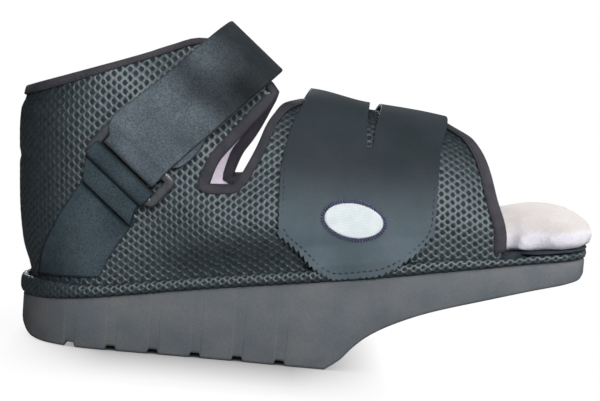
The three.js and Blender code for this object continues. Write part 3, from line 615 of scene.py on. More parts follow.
# Insole pad: a thick foam cushion in pale brushed fleece, full and rounded where it comes out of the toe.
# It is inflated a little as stuffed cloth, then its pile is roughened.
pad_flare = 237
pad_hidden = 235
pad_rise = lip_start - 6.4
pad_thick = (10.2, 11.6)
pad_crown = (3.6, 1.6)
fleece_swell = 0.4
pad_layers = (
    (3.4, 0, 0, 0), (1.6, 0, 0.07, 0), (0.7, 0, 0.2, 0), (0.15, 0, 0.36, 0), (0, 0, 0.5, 0),
    (0.25, 0, 0.66, 0), (0.9, 0, 0.8, 0), (2.1, 0, 0.92, 0), (4, 0, 1, 0), (4, 0.12, 1, 0.36),
    (4, 0.3, 1, 0.65), (4, 0.48, 1, 0.86), (4, 0.65, 1, 0.97), (4, 0.82, 1, 1))


def pad_floor(x):
    return sole_top(x) + board_thick + gap + lip_rise * at_toe(x, pad_rise)


def pad_ring(inset, shrink, up, rise):
    ring = []
    for x, y, nx, ny in outline:
        shown = mix(0.6, -2.4, ease(244, 262, x)) - 2.9 * max(0, nx)
        by = mix(inside_at(x) + 1.2, shown, at_toe(x, pad_flare)) + inset
        edge = x - nx * by
        px = mix(edge, clamp(edge, 45, 246), shrink)
        thick = mix(*pad_thick, ease(246, 276, px))
        crown = mix(*pad_crown, ease(252, 281, px))
        ring.append((px, (y - ny * by) * (1 - shrink), pad_floor(px) + thick * up + crown * rise))
    return ring


def soft_noise(p, size):
    return noise.noise(Vector(p) / size)


def inflate(piece, voxel, swell, sideways, pressure=4, frames=20):
    """Swells a cushion as stuffed cloth for a moment, and keeps the shape within the room that it has."""
    remesh = piece.modifiers.new("voxels", "REMESH")
    remesh.mode = "VOXEL"
    remesh.voxel_size = voxel / 1000
    keep_result(piece)
    rest = np.empty(len(piece.data.vertices) * 3)
    piece.data.vertices.foreach_get("co", rest)
    rest = rest.reshape(-1, 3)
    moved = rest.copy()
    cloth = piece.modifiers.new("stuffing", "CLOTH")
    cloth.settings.use_pressure = True
    cloth.settings.uniform_pressure_force = pressure
    cloth.settings.effector_weights.gravity = 0
    cloth.collision_settings.use_collision = False
    for step in range(1, frames + 1):
        scene.frame_set(step)
    seen = piece.evaluated_get(bpy.context.evaluated_depsgraph_get())
    seen.data.vertices.foreach_get("co", moved.reshape(-1))
    piece.modifiers.clear()
    scene.frame_set(1)
    step = moved - rest
    reach = np.linalg.norm(step, axis=1, keepdims=True)
    step *= np.minimum(1, swell / 1000 / np.maximum(reach, 1e-9))
    in_shoe = rest[:, 0] < heel_point.x + pad_hidden / 1000
    step[in_shoe, 1] = np.clip(step[in_shoe, 1], -sideways / 1000, sideways / 1000)
    piece.data.vertices.foreach_set("co", (rest + step).reshape(-1))
    rounding = piece.modifiers.new("rounding", "SUBSURF")
    rounding.levels = 2
    rounding.render_levels = 2
    keep_result(piece)
    piece.data.polygons.foreach_set("use_smooth", [True] * len(piece.data.polygons))


pad = solid("insole_cushion", *stacked([pad_ring(*layer) for layer in pad_layers]))
inflate(pad, voxel=5.0, swell=2.2, sideways=0.7)
pile_lie = [vertex.normal.copy() for vertex in pad.data.vertices]
for vertex, lie in zip(pad.data.vertices, pile_lie):
    spot = vertex.co * 1000
    puff = soft_noise(spot, 13) + 0.6 * soft_noise(spot, 5) + 0.45 * soft_noise(spot, 2.2)
    vertex.co += lie * (fleece_swell * puff / 1000)
    low = pad_floor((vertex.co.x - heel_point.x) * 1000) / 1000
    vertex.co.z = max(vertex.co.z, low)
fleece = Finish("pad_fleece", 0.95, (90, 1100, (236, 232, 242), (244, 241, 250), 0.06), {
    "Sheen Weight": 0.6, "Sheen Roughness": 0.5})
# The pad's upward faces are mixed towards a warmer, greyer colour than its sides.
warm = fleece.mottled(90, 1100, (226, 215, 210), (232, 224, 222), 0.06)
upward = fleece.parts(fleece.add("ShaderNodeNewGeometry").outputs["Normal"])[2]
upward_share = fleece.spread(upward, 0.3, 0.9)
blend = fleece.add("ShaderNodeMix", {0: upward_share, 6: fleece.colour, 7: warm}, data_type="RGBA")
fleece.wear("Base Color", blend.outputs[2])
fleece.bump(fleece.pattern("Noise", 620, {"Detail": 6, "Roughness": 0.75}), 0.0012, 0.8)
finish_piece(pad, fleece, "pad", "insole_pad")


# Mesh upper: one wall of knitted mesh, a cuff round the heel and a vamp over the forefoot, joined under
# a notch on each side. A dark cloth lies behind the net, so its holes look deep.
cuff_depth = 40
strap_lean = (0.638, 0.77)
heel_line = curve(
    (22, 3.6), (31, 3.2), (46, -1.6), (66, -4.6), (88, -6), (105, -6.9), (112, -6.6), (117, -4.6),
    (135, -2.4))
ankle = curve((20, 36.4), (90, 36.6), (115, 36.9), (155, 34.6))
collar = curve(
    (-7, 120.6), (22, 130.2), (56, 142.4), (67, 147), (81, 151.6), (89.5, 151.6), (98, 146.5), (112, 135.4),
    (118.6, 129), (130, 95))
cuff_front = curve(
    (30, 81), (60, 85), (83, 89), (95, 93.4), (106, 101.6), (118, 111.2), (125, 116.4), (130, 118.6),
    (160, 121))
far_flap = curve((80, 8.8), (90, 9.1), (100, 8.6), (108, 7), (116, 4.4), (124, 1.8), (132, 0.6))
vamp_top = curve((80, 125.6), (131, 125.2), (168, 123.6), (206, 118.6), (245, 112))
vamp_rear = curve(
    (0, 100.5), (0.51, 102.4), (0.6, 107.2), (0.74, 113.1), (0.88, 117.8), (0.96, 123.4), (1, 132))
vamp_front = curve((0, 232.6), (0.22, 232.2), (0.56, 226.2), (0.79, 221.6), (0.94, 215), (1, 205))
dent_deep, dent_at, dent_half = 0.9, 88.7, 1.5
bulge_out = 5
gather_in = 3.2
far_ahead = 6
foot_lift = 1.5 * gap
notch_foot = 82.8
notch_t = 0.537
heel_columns = 18
flat_columns = 24
notch_columns = 10
vamp_columns = 30
low_rows = 14
high_rows = 26
cuff_last = heel_columns + flat_columns
vamp_first = cuff_last + notch_columns
top_row = low_rows + high_rows


def heel_back(z):
    """The back of the cuff, with a small dent at the seam half way up."""
    return heel_line(z) + dent_deep * math.exp(-(((z - dent_at) / dent_half) ** 2))


def cuff_half(x, z):
    reach = clamp((x - heel_back(z)) / cuff_depth)
    rise = ease(sole_top(x), 92, z)
    flat = mix(side(max(x, heel_depth)) - wall_inset, ankle(z), rise)
    closing = 1 - 0.55 * ease(125, 180, strap_lean[0] * x + strap_lean[1] * z)
    return flat * closing * math.sqrt(1 - (1 - reach) ** 2)


def vamp_half(x, z):
    t = clamp((z - sole_top(x)) / (vamp_top(x) - sole_top(x)))
    return (side(x) - wall_inset) * (1 - t**3) ** (1 / 2.5)


def upper_half(x, z, vamp):
    """Half the upper's width; vamp is 1 on the vamp and 0 on the cuff, which part above the notch."""
    share = mix(ease(75, 115, x), vamp, ease(notch_foot - 18, notch_foot, z))
    rise = z - sole_top(x)
    bulge = bulge_out * ease(60, 96, x) * (1 - ease(116, 152, x))
    bulge *= ease(7, 30, rise) * (1 - ease(31, 60, rise))
    gather = gather_in * ease(206, 234, x) * ease(20, 32, rise)
    tuck = tuck_at(x) * (1 - ease(1, 24, rise))
    return mix(cuff_half(x, z), vamp_half(x, z), share) + bulge - gather - tuck


def on_upper(x, z, vamp):
    return (x, -upper_half(x, z, vamp), z)


def turn_at(t):
    return math.asin(min(1, t**1.5))


def on_arch(turn, x_at):
    """A point of the vamp's arch; turn is 0 at the near side's sole and a half turn at the far side's."""
    far = turn > math.pi / 2
    t = math.sin(math.pi - turn if far else turn) ** (2 / 3)
    x = x_at(t)
    z = max(mix(sole_top(x), vamp_top(x), t), sole_top(x) + foot_lift)
    y = 0 if abs(turn - math.pi / 2) < 1e-6 else upper_half(x, z, 1)
    return (x, y if far else -y, z)


def far_rear(t):
    """How much further forward the vamp's rear edge lies on the far side."""
    return far_ahead * (1 - ease(0.62, 1, t))


def cuff_column(i, far):
    turn = min(i / heel_columns, 1) * math.pi / 2
    share = max(0, (i - heel_columns) / flat_columns)

    def x_at(z):
        return mix(heel_back(z) + cuff_depth * (1 - math.cos(turn)), cuff_front(z) + far * far_flap(z), share)

    low, high = 90, 165
    for _ in range(40):
        middle = (low + high) / 2
        if collar(x_at(middle)) > middle:
            low = middle
        else:
            high = middle
    foot = sole_top(x_at(30)) + foot_lift
    middle = mix(notch_foot - 5, notch_foot, share)
    column = [mix(foot, middle, j / low_rows) for j in range(low_rows + 1)]
    column += [mix(middle, low, j / high_rows) for j in range(1, high_rows + 1)]
    return [on_upper(x_at(z), z, 0) for z in column]


def vamp_column(i, far):
    def x_at(t):
        return mix(vamp_rear(t) + far * far_rear(t), vamp_front(t), i / vamp_columns)

    turns = [turn_at(notch_t * j / low_rows) for j in range(low_rows + 1)]
    turns += [mix(turn_at(notch_t), math.pi / 2, j / high_rows) for j in range(1, high_rows + 1)]
    return [on_arch(turn, x_at) for turn in turns]


def half_upper(far):
    """One half of the upper as columns of points from the sole up, drawn on the near side."""
    half = [cuff_column(i, far) for i in range(cuff_last + 1)]
    first_vamp = vamp_column(0, far)
    for i in range(1, notch_columns):
        share = i / notch_columns
        column = []
        for j, (p, q) in enumerate(zip(half[cuff_last], first_vamp)):
            sag = 0.2 * math.sin(share * math.pi) * min(1, j / low_rows) ** 3
            spot = on_upper(mix(p[0], q[0], share), mix(p[2], q[2], share) - sag, share)
            column.append(spot if j <= low_rows else p)
        half.append(column)
    return half + [first_vamp] + [vamp_column(i, far) for i in range(1, vamp_columns + 1)]


def upper_chart(upper):
    """Each corner of half the upper on a flat chart in millimetres: u round the shoe, v below the crown."""
    spots = [[None] * (top_row + 1) for _ in upper]
    for i in range(vamp_first, len(upper)):
        below = 0
        spots[i][top_row] = (upper[i][top_row][0], 0.0)
        for j in range(top_row - 1, -1, -1):
            p, q = upper[i][j], upper[i][j + 1]
            below += math.hypot(p[1] - q[1], p[2] - q[2])
            spots[i][j] = (p[0], -below)
    foot_z = upper[vamp_first][low_rows][2]
    foot_v = spots[vamp_first][low_rows][1]
    tallest = max(p[2] for column in upper[:cuff_last + 1] for p in column)
    squeeze = min(1, (-foot_v - 3) / (tallest - foot_z))
    for i in range(vamp_first):
        share = clamp((i - cuff_last) / notch_columns)
        for j, (x, _, z) in enumerate(upper[i]):
            v = foot_v + (z - foot_z) * (squeeze if z > foot_z else 1)
            spots[i][j] = (x, mix(v, spots[vamp_first][j][1], share) if j <= low_rows else v)
    for j in range(top_row + 1):
        for i in range(heel_columns - 1, -1, -1):
            p, q = upper[i][j], upper[i + 1][j]
            spots[i][j] = (spots[i + 1][j][0] - math.hypot(p[0] - q[0], p[1] - q[1]), spots[i][j][1])
    return spots


def flip(grid):
    """A grid mirrored to the far side, with its columns turned so that it still faces out."""
    return [[(p[0], -p[1], *p[2:]) for p in column] for column in reversed(grid)]


def off_notch(columns, lead=0, far=False):
    """Tells the faces of a half outside its notch; lead is the number of columns before the back seam."""
    def keep(i, j):
        column = (columns - 2 - i if far else i) - lead
        return not (cuff_last <= column < vamp_first and j >= low_rows)

    return keep


chart_size = 380
chart_middle = 95


def spot_key(p):
    """A key that points in the same place share."""
    return tuple(round(c * 200) for c in p)


def sheet_of(*grids):
    """Points, faces and UVs of grids, with shared corners joined.

    Each comes with the chart spots of its points, if it needs any, and the faces to keep, if not all.
    """
    known = {}
    points, faces, uvs = [], [], []

    def corner(p):
        key = spot_key(p)
        if key not in known:
            known[key] = len(points)
            points.append(p)
        return known[key]

    for grid, spots, keep in grids:
        for i in range(len(grid) - 1):
            for j in range(len(grid[i]) - 1):
                if keep and not keep(i, j):
                    continue
                cell = ((i, j), (i + 1, j), (i + 1, j + 1), (i, j + 1))
                ids = [corner(grid[a][b]) for a, b in cell]
                face, spot = [], []
                for k, (a, b) in enumerate(cell):
                    if ids[k] != ids[k - 1]:
                        face.append(ids[k])
                        u, v = spots[a][b] if spots else (0, 0)
                        spot.append(((u - chart_middle) / chart_size + 0.5, v / chart_size + 0.5))
                if len(face) > 2:
                    faces.append(face)
                    uvs.append(spot)
    return points, faces, uvs


def normals_of(sheet):
    """Smooth normals of an open sheet, weighted by area."""
    spots = np.asarray(sheet[0], float)
    normals = np.zeros_like(spots)
    for face in sheet[1]:
        a, b, c, d = (spots[face[0]], spots[face[1]], spots[face[2]], spots[face[-1]])
        normals[face] += np.cross(c - a, d - b) if len(face) == 4 else np.cross(b - a, c - a)
    return normals / np.maximum(np.linalg.norm(normals, axis=1, keepdims=True), 1e-9)


def wall(name, sheet, outer, inner):
    """A closed wall from an open sheet, between two offsets along its normals."""
    points, faces = sheet[0], sheet[1]
    count = len(points)
    normals = normals_of(sheet)
    layers = []
    for offset in (outer, inner):
        by = np.array([offset(p) for p in points]) if callable(offset) else np.full(count, offset)
        layers.append(np.asarray(points, float) + normals * by[:, None])
    quads = [list(face) for face in faces] + [[k + count for k in reversed(face)] for face in faces]
    edges = {}
    for face in faces:
        for k, a in enumerate(face):
            b = face[(k + 1) % len(face)]
            if edges.pop((b, a), None) is None:
                edges[(a, b)] = True
    quads += [[b, a, a + count, b + count] for a, b in edges]
    return new_piece(name, np.concatenate(layers), quads)


upper, far_half = half_upper(0), half_upper(1)
upper_spots, far_spots = upper_chart(upper), upper_chart(far_half)
upper_sheet = sheet_of(
    (upper, upper_spots, off_notch(len(upper))),
    (flip(far_half), flip(far_spots), off_notch(len(upper), far=True)))
upper_backing = wall("upper_backing", upper_sheet, -net_deep, -wall_thick)
finish_piece(upper_backing, backing, "mesh", "mesh_upper")

# The net's form runs on past the back seam, so that the meshes there can be cut off straight.
cell_pitch = 5.2
cell_row = 1.9
net_cell = make_cell("net_cell", cell_pitch, cell_row)
net_columns, net_rows = 76, 201
past_seam = 3
seam_reach = 20
seam_u = [spot[0] for spot in upper_spots[0]]
lead = [[(x, -y, z) for x, y, z in upper[i]] for i in range(past_seam, 0, -1)]
lead_spots = [
    [(2 * seam_u[j] - u, v) for j, (u, v) in enumerate(upper_spots[i])] for i in range(past_seam, 0, -1)]
form_columns = past_seam + len(upper)
near_form = sheet_of(([*lead, *upper], [*lead_spots, *upper_spots], off_notch(form_columns, past_seam)))
far_form = sheet_of((
    flip([*lead, *far_half]), flip([*lead_spots, *far_spots]), off_notch(form_columns, past_seam, far=True)))
far_faces = [[k + len(near_form[0]) for k in face] for face in far_form[1]]
upper_net = new_piece(
    "upper_net", near_form[0] + far_form[0], near_form[1] + far_faces, near_form[2] + far_form[2])
run_nodes(upper_net, net.tree, {
    "Cell": net_cell, "Pitch": cell_pitch / 1000, "Row": cell_row / 1000, "Columns": net_columns,
    "Rows": net_rows, "Turn": math.radians(4.4), "Waver": 0.0016, "Chart": chart_size / 1000,
    "Thread": thread.material})
for vertex, mark in zip(upper_net.data.vertices, upper_net.data.attributes["chart_row"].data):
    over = vertex.co.y - heel_point.y
    if vertex.co.x < heel_point.x + seam_reach / 1000 and over * (mark.value - 0.5) < 0:
        vertex.co.y = heel_point.y
for piece in (upper_net, band_net):
    piece.data.attributes.remove(piece.data.attributes["chart_row"])
for cell in (band_cell, net_cell):
    bpy.data.objects.remove(cell)
finish_piece(upper_net, thread, "mesh")


# Lining: pale lilac brushed cloth behind the mesh wall, seen through the notches and the openings. It glows
# faintly in its own colour, painted light that brightens it inside the shoe.
lining_out = -wall_thick - gap
lining_in = lining_out - lining_thick
# The lining's emission is painted light: it glows faintly in its own colour.
painted_glow_and_shade = Finish("lining_brushed", 0.95, (120, 1500, (226, 220, 230), (236, 230, 240), 0.08), {
    "Sheen Weight": 0.4, "Sheen Roughness": 0.5, "Emission Strength": 0.22}, grainy=(0.0006, 0.6))
painted_glow_and_shade.wear("Emission Color", painted_glow_and_shade.colour)
finish_piece(wall("brushed_lining", upper_sheet, lining_out, lining_in), painted_glow_and_shade, "lining", "lining")


# Bindings: folded woven tape sewn over the raw edges of mesh and lining. One loop runs round the collar,
# both notches and the vamp's rear edge, and another piece covers the vamp's open front.
tape_gap = 0.5
tape_thick = 0.9
seam_in = 1.1
heel_tape, collar_tape, cuff_tape, notch_tape, vamp_tape, toe_tape = 3.6, 2, 4.2, 3.8, 3.4, 4.5


def normals_by_spot(sheet):
    return {spot_key(p): n for p, n in zip(sheet[0], normals_of(sheet))}


upper_normals = normals_by_spot(upper_sheet)


def tape_outline(reach):
    """The folded tape's section: distance in from the edge, and height off the wall's face."""
    low = lining_in - 2 * tape_gap
    high = tape_gap
    edge = -tape_gap - tape_thick
    return (
        (reach, high + 0.3), (reach - 0.25, high + tape_thick), (reach * 0.5, high + tape_thick + 0.12),
        (0, high + tape_thick), (edge * 0.7, high + tape_thick * 0.6), (edge, high * 0.4),
        (edge - 0.15, (low + high) / 2), (edge, low * 0.94), (edge * 0.7, low - tape_thick * 0.6),
        (0, low - tape_thick), (reach - 0.25, low - tape_thick), (reach, low - 0.3),
        (reach, low), (-tape_gap, low), (-tape_gap, high), (reach, high))


def bind(name, node, edge, closed):
    """Sews tape over an edge of (corner of the upper, tape width), and returns the line of its stitches."""
    count = len(edge)
    window = 2
    spots = np.array([p for p, _ in edge], float)
    sections, seam = [], []
    for i, (corner, width) in enumerate(edge):
        normal = upper_normals[spot_key(corner)]
        before = spots[(i - window) % count if closed else max(i - window, 0)]
        after = spots[(i + window) % count if closed else min(i + window, count - 1)]
        inward = np.cross(after - before, normal)
        inward /= np.linalg.norm(inward)
        sections.append([tuple(spots[i] + inward * x + normal * y) for x, y in tape_outline(width)])
        seam.append((
            spots[i] + inward * (width - seam_in) + normal * (tape_gap + tape_thick + 0.05), normal))
    finish_piece(solid(name, *swept(sections, closed)), tape, "tape", node)
    return seam


def throat_edge(half):
    """The edge from the back of the collar to the vamp's crown, with the tape's width along it."""
    edge = [(half[i][top_row], mix(heel_tape, collar_tape, ease(6, 22, i))) for i in range(cuff_last + 1)]
    edge += [(half[cuff_last][j], cuff_tape) for j in range(top_row - 1, low_rows - 1, -1)]
    edge += [(half[i][low_rows], notch_tape) for i in range(cuff_last + 1, vamp_first)]
    return edge + [(half[vamp_first][j], vamp_tape) for j in range(low_rows, top_row + 1)]


def mirrored(edge):
    return [((x, -y, z), width) for (x, y, z), width in edge]


tape = Finish("binding_tape", 0.9, (120, 2400, (56, 57, 63), (71, 69, 75), 0.16), {"Specular IOR Level": 0.3})
ribs = tape.pattern("Wave", 900, {"Distortion": 2.0, "Detail": 1}, bands_direction="DIAGONAL")
tape.bump(tape.calc("ADD", ribs.outputs[1], tape.grain), 0.0001, 0.5)
throat_line = throat_edge(upper) + mirrored(throat_edge(far_half)[-2:0:-1])
throat_seam = bind("throat_tape", "throat_binding", throat_line, True)
toe_edge = [(p, toe_tape) for p in upper[-1][3:]]
toe_seam = bind("toe_tape", "toe_binding", (toe_edge + mirrored(toe_edge[-2::-1]))[::-1], False)

# Stitches: short threads laid end to end along a sewn line, standing on the cloth's own normal.
sewing, given, out = new_group(
    "GeometryNodeTree", "stitch_row",
    [("Line", "Geometry", None), ("Stitch", "Object", None), ("Spacing", "Float", 0.003),
     ("Thread", "Material", None)],
    [("Stitches", "Geometry")])
run = sewing.add("GeometryNodeMeshToCurve", {0: given["Line"]})
evenly = sewing.add("GeometryNodeResampleCurve", {"Curve": run, "Length": given["Spacing"]}, mode="LENGTH")
outward = sewing.add("GeometryNodeInputNamedAttribute", {"Name": "outward"}, data_type="FLOAT_VECTOR")
aim = sewing.add(
    "FunctionNodeAxesToRotation", {0: outward, 1: sewing.add("GeometryNodeInputTangent")},
    primary_axis="Z", secondary_axis="X")
bead = sewing.add("GeometryNodeObjectInfo", {"Object": given["Stitch"]}).outputs["Geometry"]
laid = sewing.add("GeometryNodeInstanceOnPoints", {"Points": evenly, "Instance": bead, "Rotation": aim})
sewn = sewing.add("GeometryNodeRealizeInstances", {0: laid})
rounded = sewing.add("GeometryNodeSetShadeSmooth", {"Geometry": sewn})
sewing.give(out[0], sewing.add("GeometryNodeSetMaterial", {"Geometry": rounded, "Material": given["Thread"]}))


def sew(name, lines, bead, spacing, finish, slot):
    """Rows of stitches along lines of (point, normal); bead is a stitch's length, width and height."""
    made = bmesh.new()
    bmesh.ops.create_uvsphere(made, u_segments=8, v_segments=6, radius=0.5)
    bmesh.ops.scale(made, vec=[c / 1000 for c in bead], verts=made.verts)
    mesh = bpy.data.meshes.new(name + "_bead")
    made.to_mesh(mesh)
    made.free()
    stitch = put(name + "_bead", mesh)
    piece = new_piece(name, [tuple(p) for line in lines for p, _ in line], [])
    edges = []
    start = 0
    for line in lines:
        edges += [(start + k, start + k + 1) for k in range(len(line) - 1)]
        start += len(line)
    piece.data.edges.add(len(edges))
    piece.data.edges.foreach_set("vertices", [k for edge in edges for k in edge])
    mark = piece.data.attributes.new("outward", "FLOAT_VECTOR", "POINT")
    mark.data.foreach_set("vector", [c for line in lines for _, n in line for c in n])
    run_nodes(piece, sewing.tree, {"Stitch": stitch, "Spacing": spacing / 1000, "Thread": finish.material})
    bpy.data.objects.remove(stitch)
    finish_piece(piece, finish, slot)


dark_thread = Finish("dark_thread", 0.6, (300, 3000, (34, 36, 40), (52, 54, 58), 0.2), grainy=(0.0001, 0.5))
sew("binding_stitches", [throat_seam, toe_seam], (2.2, 0.55, 0.4), 3.0, dark_thread, "tape")


# Heel panels: patches of short-pile velour bonded to both sides of the heel, under the ring's tab.
across = (0.77, -0.638)
panel_steps = 26
panel_out, panel_in = 2.0, 0.7
panel_rear = (
    curve((0, 11), (0.25, 12.4), (0.6, 19), (1, 31)), curve((0, 32.8), (0.25, 44), (0.6, 61), (1, 82.5)))
panel_front = (
    curve((0, 41), (0.25, 44.6), (0.6, 50.6), (1, 57.6)), curve((0, 35), (0.25, 43), (0.6, 54), (1, 64)))


def panel_point(u, v):
    x, z = (mix(rear(v), front(v), u) for rear, front in zip(panel_rear, panel_front))
    return on_upper(x, z, 0)


def velour_finish(name, dark, light, painted_glow_and_shade=()):
    """Short-pile velour, speckled, with painted shade where its faces turn away from the sides.

    painted_glow_and_shade gives places of painted shade on the ankle strap, as (along, reach), the span
    across in which it sets in, and the share of light that is left there.
    """
    velour = Finish(name, 0.9, (45, 1150, dark, light, 0.42), {"Specular IOR Level": 0.25})
    facing = velour.add("ShaderNodeNewGeometry").outputs["Normal"]
    facing_sides = velour.calc("ABSOLUTE", velour.parts(facing)[1])
    # Painted shade: darker where a face turns away from the sides, a little brighter where it faces them
    # squarely.
    velour_painted_shade = velour.scale(velour.colour, velour.spread(facing_sides, 0.5, 0.99, 0.45, 1.05))
    # Painted shade at each listed place on the ankle strap.
    for (middle, reach), (start, end), share in painted_glow_and_shade:
        from_heel = velour.vector("SUBTRACT", velour.place, heel_point)
        along, over = (
            velour.vector("DOT_PRODUCT", from_heel, (way[0], 0, way[1])).outputs["Value"]
            for way in (strap_lean, across))
        away = velour.calc("ABSOLUTE", velour.calc("SUBTRACT", along, middle / 1000))
        close = velour.spread(away, 0, reach / 1000, 1, 0, "SMOOTHSTEP")
        setting_in = velour.spread(over, start / 1000, end / 1000, 0, 1, "SMOOTHSTEP")
        left = velour.spread(velour.calc("MULTIPLY", close, setting_in), 0, 1, 1, share)
        velour_painted_shade = velour.scale(velour_painted_shade, left)
    velour.wear("Base Color", velour_painted_shade)
    velour.bump(velour.pattern("Noise", 2600, {"Detail": 4, "Roughness": 0.7}), 0.0004, 0.7)
    return velour


panel_velour = velour_finish("panel_velour", (44, 58, 64), (62, 74, 81))
panel_shares = [i / panel_steps for i in range(panel_steps + 1)]
near_panel = [[panel_point(u, v) for v in panel_shares] for u in panel_shares]
for name, grid in (("near", near_panel), ("far", flip(near_panel))):
    panel = wall("heel_patch_" + name, sheet_of((grid, None, None)), panel_out, panel_in)
    finish_piece(panel, panel_velour, "velour", "heel_panel_" + name)


# Ring tab and ankle strap: doubled velour ribbons. The tab holds the ring's lower bar on the heel panel; the
# strap comes round the ankle from the far side, passes through the ring and folds back over itself.
velour_thick = 2.2
velour_off = 39.3
ring_low, ring_high = -38.6, 5.0
ring_bottom, ring_top = 94.6, 113.6
ring_bar = 4.6
ring_thick = 3.2
ring_y = -(velour_off + velour_thick + gap + ring_thick / 2)
strap_inner = -(velour_off + velour_thick / 2)
strap_outer = strap_inner - velour_thick - 0.4
turn_start = 140
strap_front = 184.4
strap_crease = 153.6
crease_deep = 0.7
puff_high = 0.45
ankle_low = curve(
    (80, -36), (100, -33.6), (107, -33.6), (111, -37.4), (117, -38.6), (127, -37.2), (150, -34), (186, -31))
ankle_high = curve((80, -3), (102, -2), (114, -2), (120, -1.6), (150, 1), (186, 4.5))
tab_low = curve((83, -28.4), (91, -34), (95, -36.2), (104, -36.2))
tab_high = curve((83, 2.8), (91, -0.4), (95, 0.6), (104, 0.6))


def strap_place(across_by, along_by, y):
    return (
        across[0] * across_by + strap_lean[0] * along_by, y, across[1] * across_by + strap_lean[1] * along_by)


def squared(value, power):
    """A sine or cosine drawn out, so that what turns with it has squarer corners."""
    return math.copysign(abs(value) ** power, value)


def fold(bar_at, direction, slack):
    """A fold round one of the ring's bars, from the inner layer to the outer one, as (along, y, wider)."""
    reach_a = ring_bar / 2 + 1.8 * gap + velour_thick / 2 + slack
    reach_y = ring_thick / 2 + gap + velour_thick / 2
    past = bar_at - direction * (ring_bar / 2 + 1.5)
    points = [(past, ring_y + reach_y, 0)]
    for i in range(9):
        turn = math.pi * i / 8
        points.append((
            bar_at + direction * reach_a * math.sin(turn) ** 0.7,
            ring_y + reach_y * squared(math.cos(turn), 0.7), 0))
    return [*points, (past, ring_y - reach_y, 0)]


def smooth_path(path, steps):
    """More points on a path, on curves through the ones it has."""
    spots = np.asarray(path, float)
    ends = np.vstack([2 * spots[0] - spots[1], spots, 2 * spots[-1] - spots[-2]])
    fine = []
    for i in range(1, len(ends) - 2):
        a, b, c, d = ends[i - 1:i + 3]
        for k in range(steps):
            t = k / steps
            bend = (2 * a - 5 * b + 4 * c - d) + t * (3 * (b - c) + d - a)
            fine.append(b + 0.5 * t * ((c - a) + t * bend))
    return np.array([*fine, spots[-1]])


def ribbon(name, path, low, high, puff):
    """A soft ribbon: path gives the distance along, the depth and any extra width; low and high its edges."""
    spots = smooth_path(path, 4)
    steps_across = 14
    round_edge = ((0.0, 0.35), (0.3, 0.8), (0.9, 1.0))
    sections = []
    for i, (a, y, wider) in enumerate(spots):
        before = spots[max(i - 1, 0)]
        after = spots[min(i + 1, len(spots) - 1)]
        run = math.hypot(after[0] - before[0], after[1] - before[1])
        na = -(after[1] - before[1]) / run
        ny = (after[0] - before[0]) / run
        left = low(a)
        right = high(a) + wider
        top = [(left + e, s) for e, s in round_edge]
        top += [(mix(left + 0.9, right - 0.9, k / steps_across), 1.0) for k in range(1, steps_across)]
        top += [(right - e, s) for e, s in reversed(round_edge)]
        section = []
        for face in (1, -1):
            for w, s in top[::face]:
                swell = puff(a, w) * math.copysign(1, y)
                by = s * face * velour_thick / 2
                section.append(strap_place(w, a + na * by, y + ny * by + swell))
        sections.append(section)
    return solid(name, *swept(sections, False))


def ankle_arc(y, reach, end, steps):
    turns = [end * i / steps for i in range(steps + 1)]
    return [(turn_start + reach * math.sin(turn) ** 0.7, y * math.cos(turn), 0) for turn in turns]


def strap_puff(a, w):
    """Soft unevenness of the strap, away from the ring, and one shallow crease across it."""
    wave = soft_noise((a, w, 0), 17) + 0.5 * soft_noise((a, w, 40), 8)
    crease = crease_deep * (1 - ease(0, 9, abs(a - strap_crease)))
    return puff_high * (wave + 0.5) * ease(122, 136, a) * (1 - ease(160, 180, a)) - crease


strap_path = [
    *((a, -strap_inner, 0) for a in (84, 100, 115, 130)),
    *ankle_arc(-strap_inner, strap_front - velour_thick - 0.4 - turn_start, math.pi, 20),
    (130, strap_inner, 3), (120, strap_inner, 3),
    *fold(ring_top - ring_bar / 2, -1, 3.6),
    (124, strap_outer, 0), (132, strap_outer, 0),
    *ankle_arc(strap_outer, strap_front - turn_start, math.pi - 0.5, 18)]
# Painted shade on the ankle strap: across its crease, at its front end, and by its lower edge between them.
strap_painted_shade = (
    ((strap_crease, 12), (-60, -50), 0.5), ((strap_front, 15), (-60, -50), 0.5), ((166, 22), (-30, -4), 0.1))
strap_velour = velour_finish("strap_velour", (73, 83, 90), (96, 106, 113), strap_painted_shade)
ankle_strap = ribbon("ankle_band", strap_path, ankle_low, ankle_high, strap_puff)
finish_piece(ankle_strap, strap_velour, "velour", "ankle_strap")

tab_bar = ring_bottom + ring_bar / 2
tab_path = [
    (83, strap_inner, 0), (87, strap_inner, 0), *fold(tab_bar, 1, 0)[:-1],
    (tab_bar - 2.6, ring_y - 2.4, 0), (tab_bar - 4.4, strap_outer + 0.1, 0),
    (tab_bar - 5.4, strap_outer + 0.1, 0), (tab_bar - 7.2, strap_outer - 0.9, 0),
    (87, strap_outer - 1.0, 0), (84.6, strap_outer - 0.8, 0), (83, strap_outer - 0.2, 0)]
ring_tab = ribbon("ring_loop", tab_path, tab_low, tab_high, lambda a, w: 0.0)
finish_piece(ring_tab, panel_velour, "velour", "ring_tab")


# Strap ring: a flat moulded plastic loop with well rounded bars, its gloss varying with a fine grain.
ring_corner = 2.0
ring_sides = 16


def ring_path():
    """The middle line of the ring's bars, as (across, along, outward across, outward along)."""
    inset = ring_bar / 2 + ring_corner
    left, right = ring_low + inset, ring_high - inset
    bottom, top = ring_bottom + inset, ring_top - inset
    for cx, cy, start in ((right, bottom, -90), (right, top, 0), (left, top, 90), (left, bottom, 180)):
        for k in range(9):
            turn = math.radians(start + 90 * k / 8)
            over, up = math.cos(turn), math.sin(turn)
            yield (cx + ring_corner * over, cy + ring_corner * up, over, up)


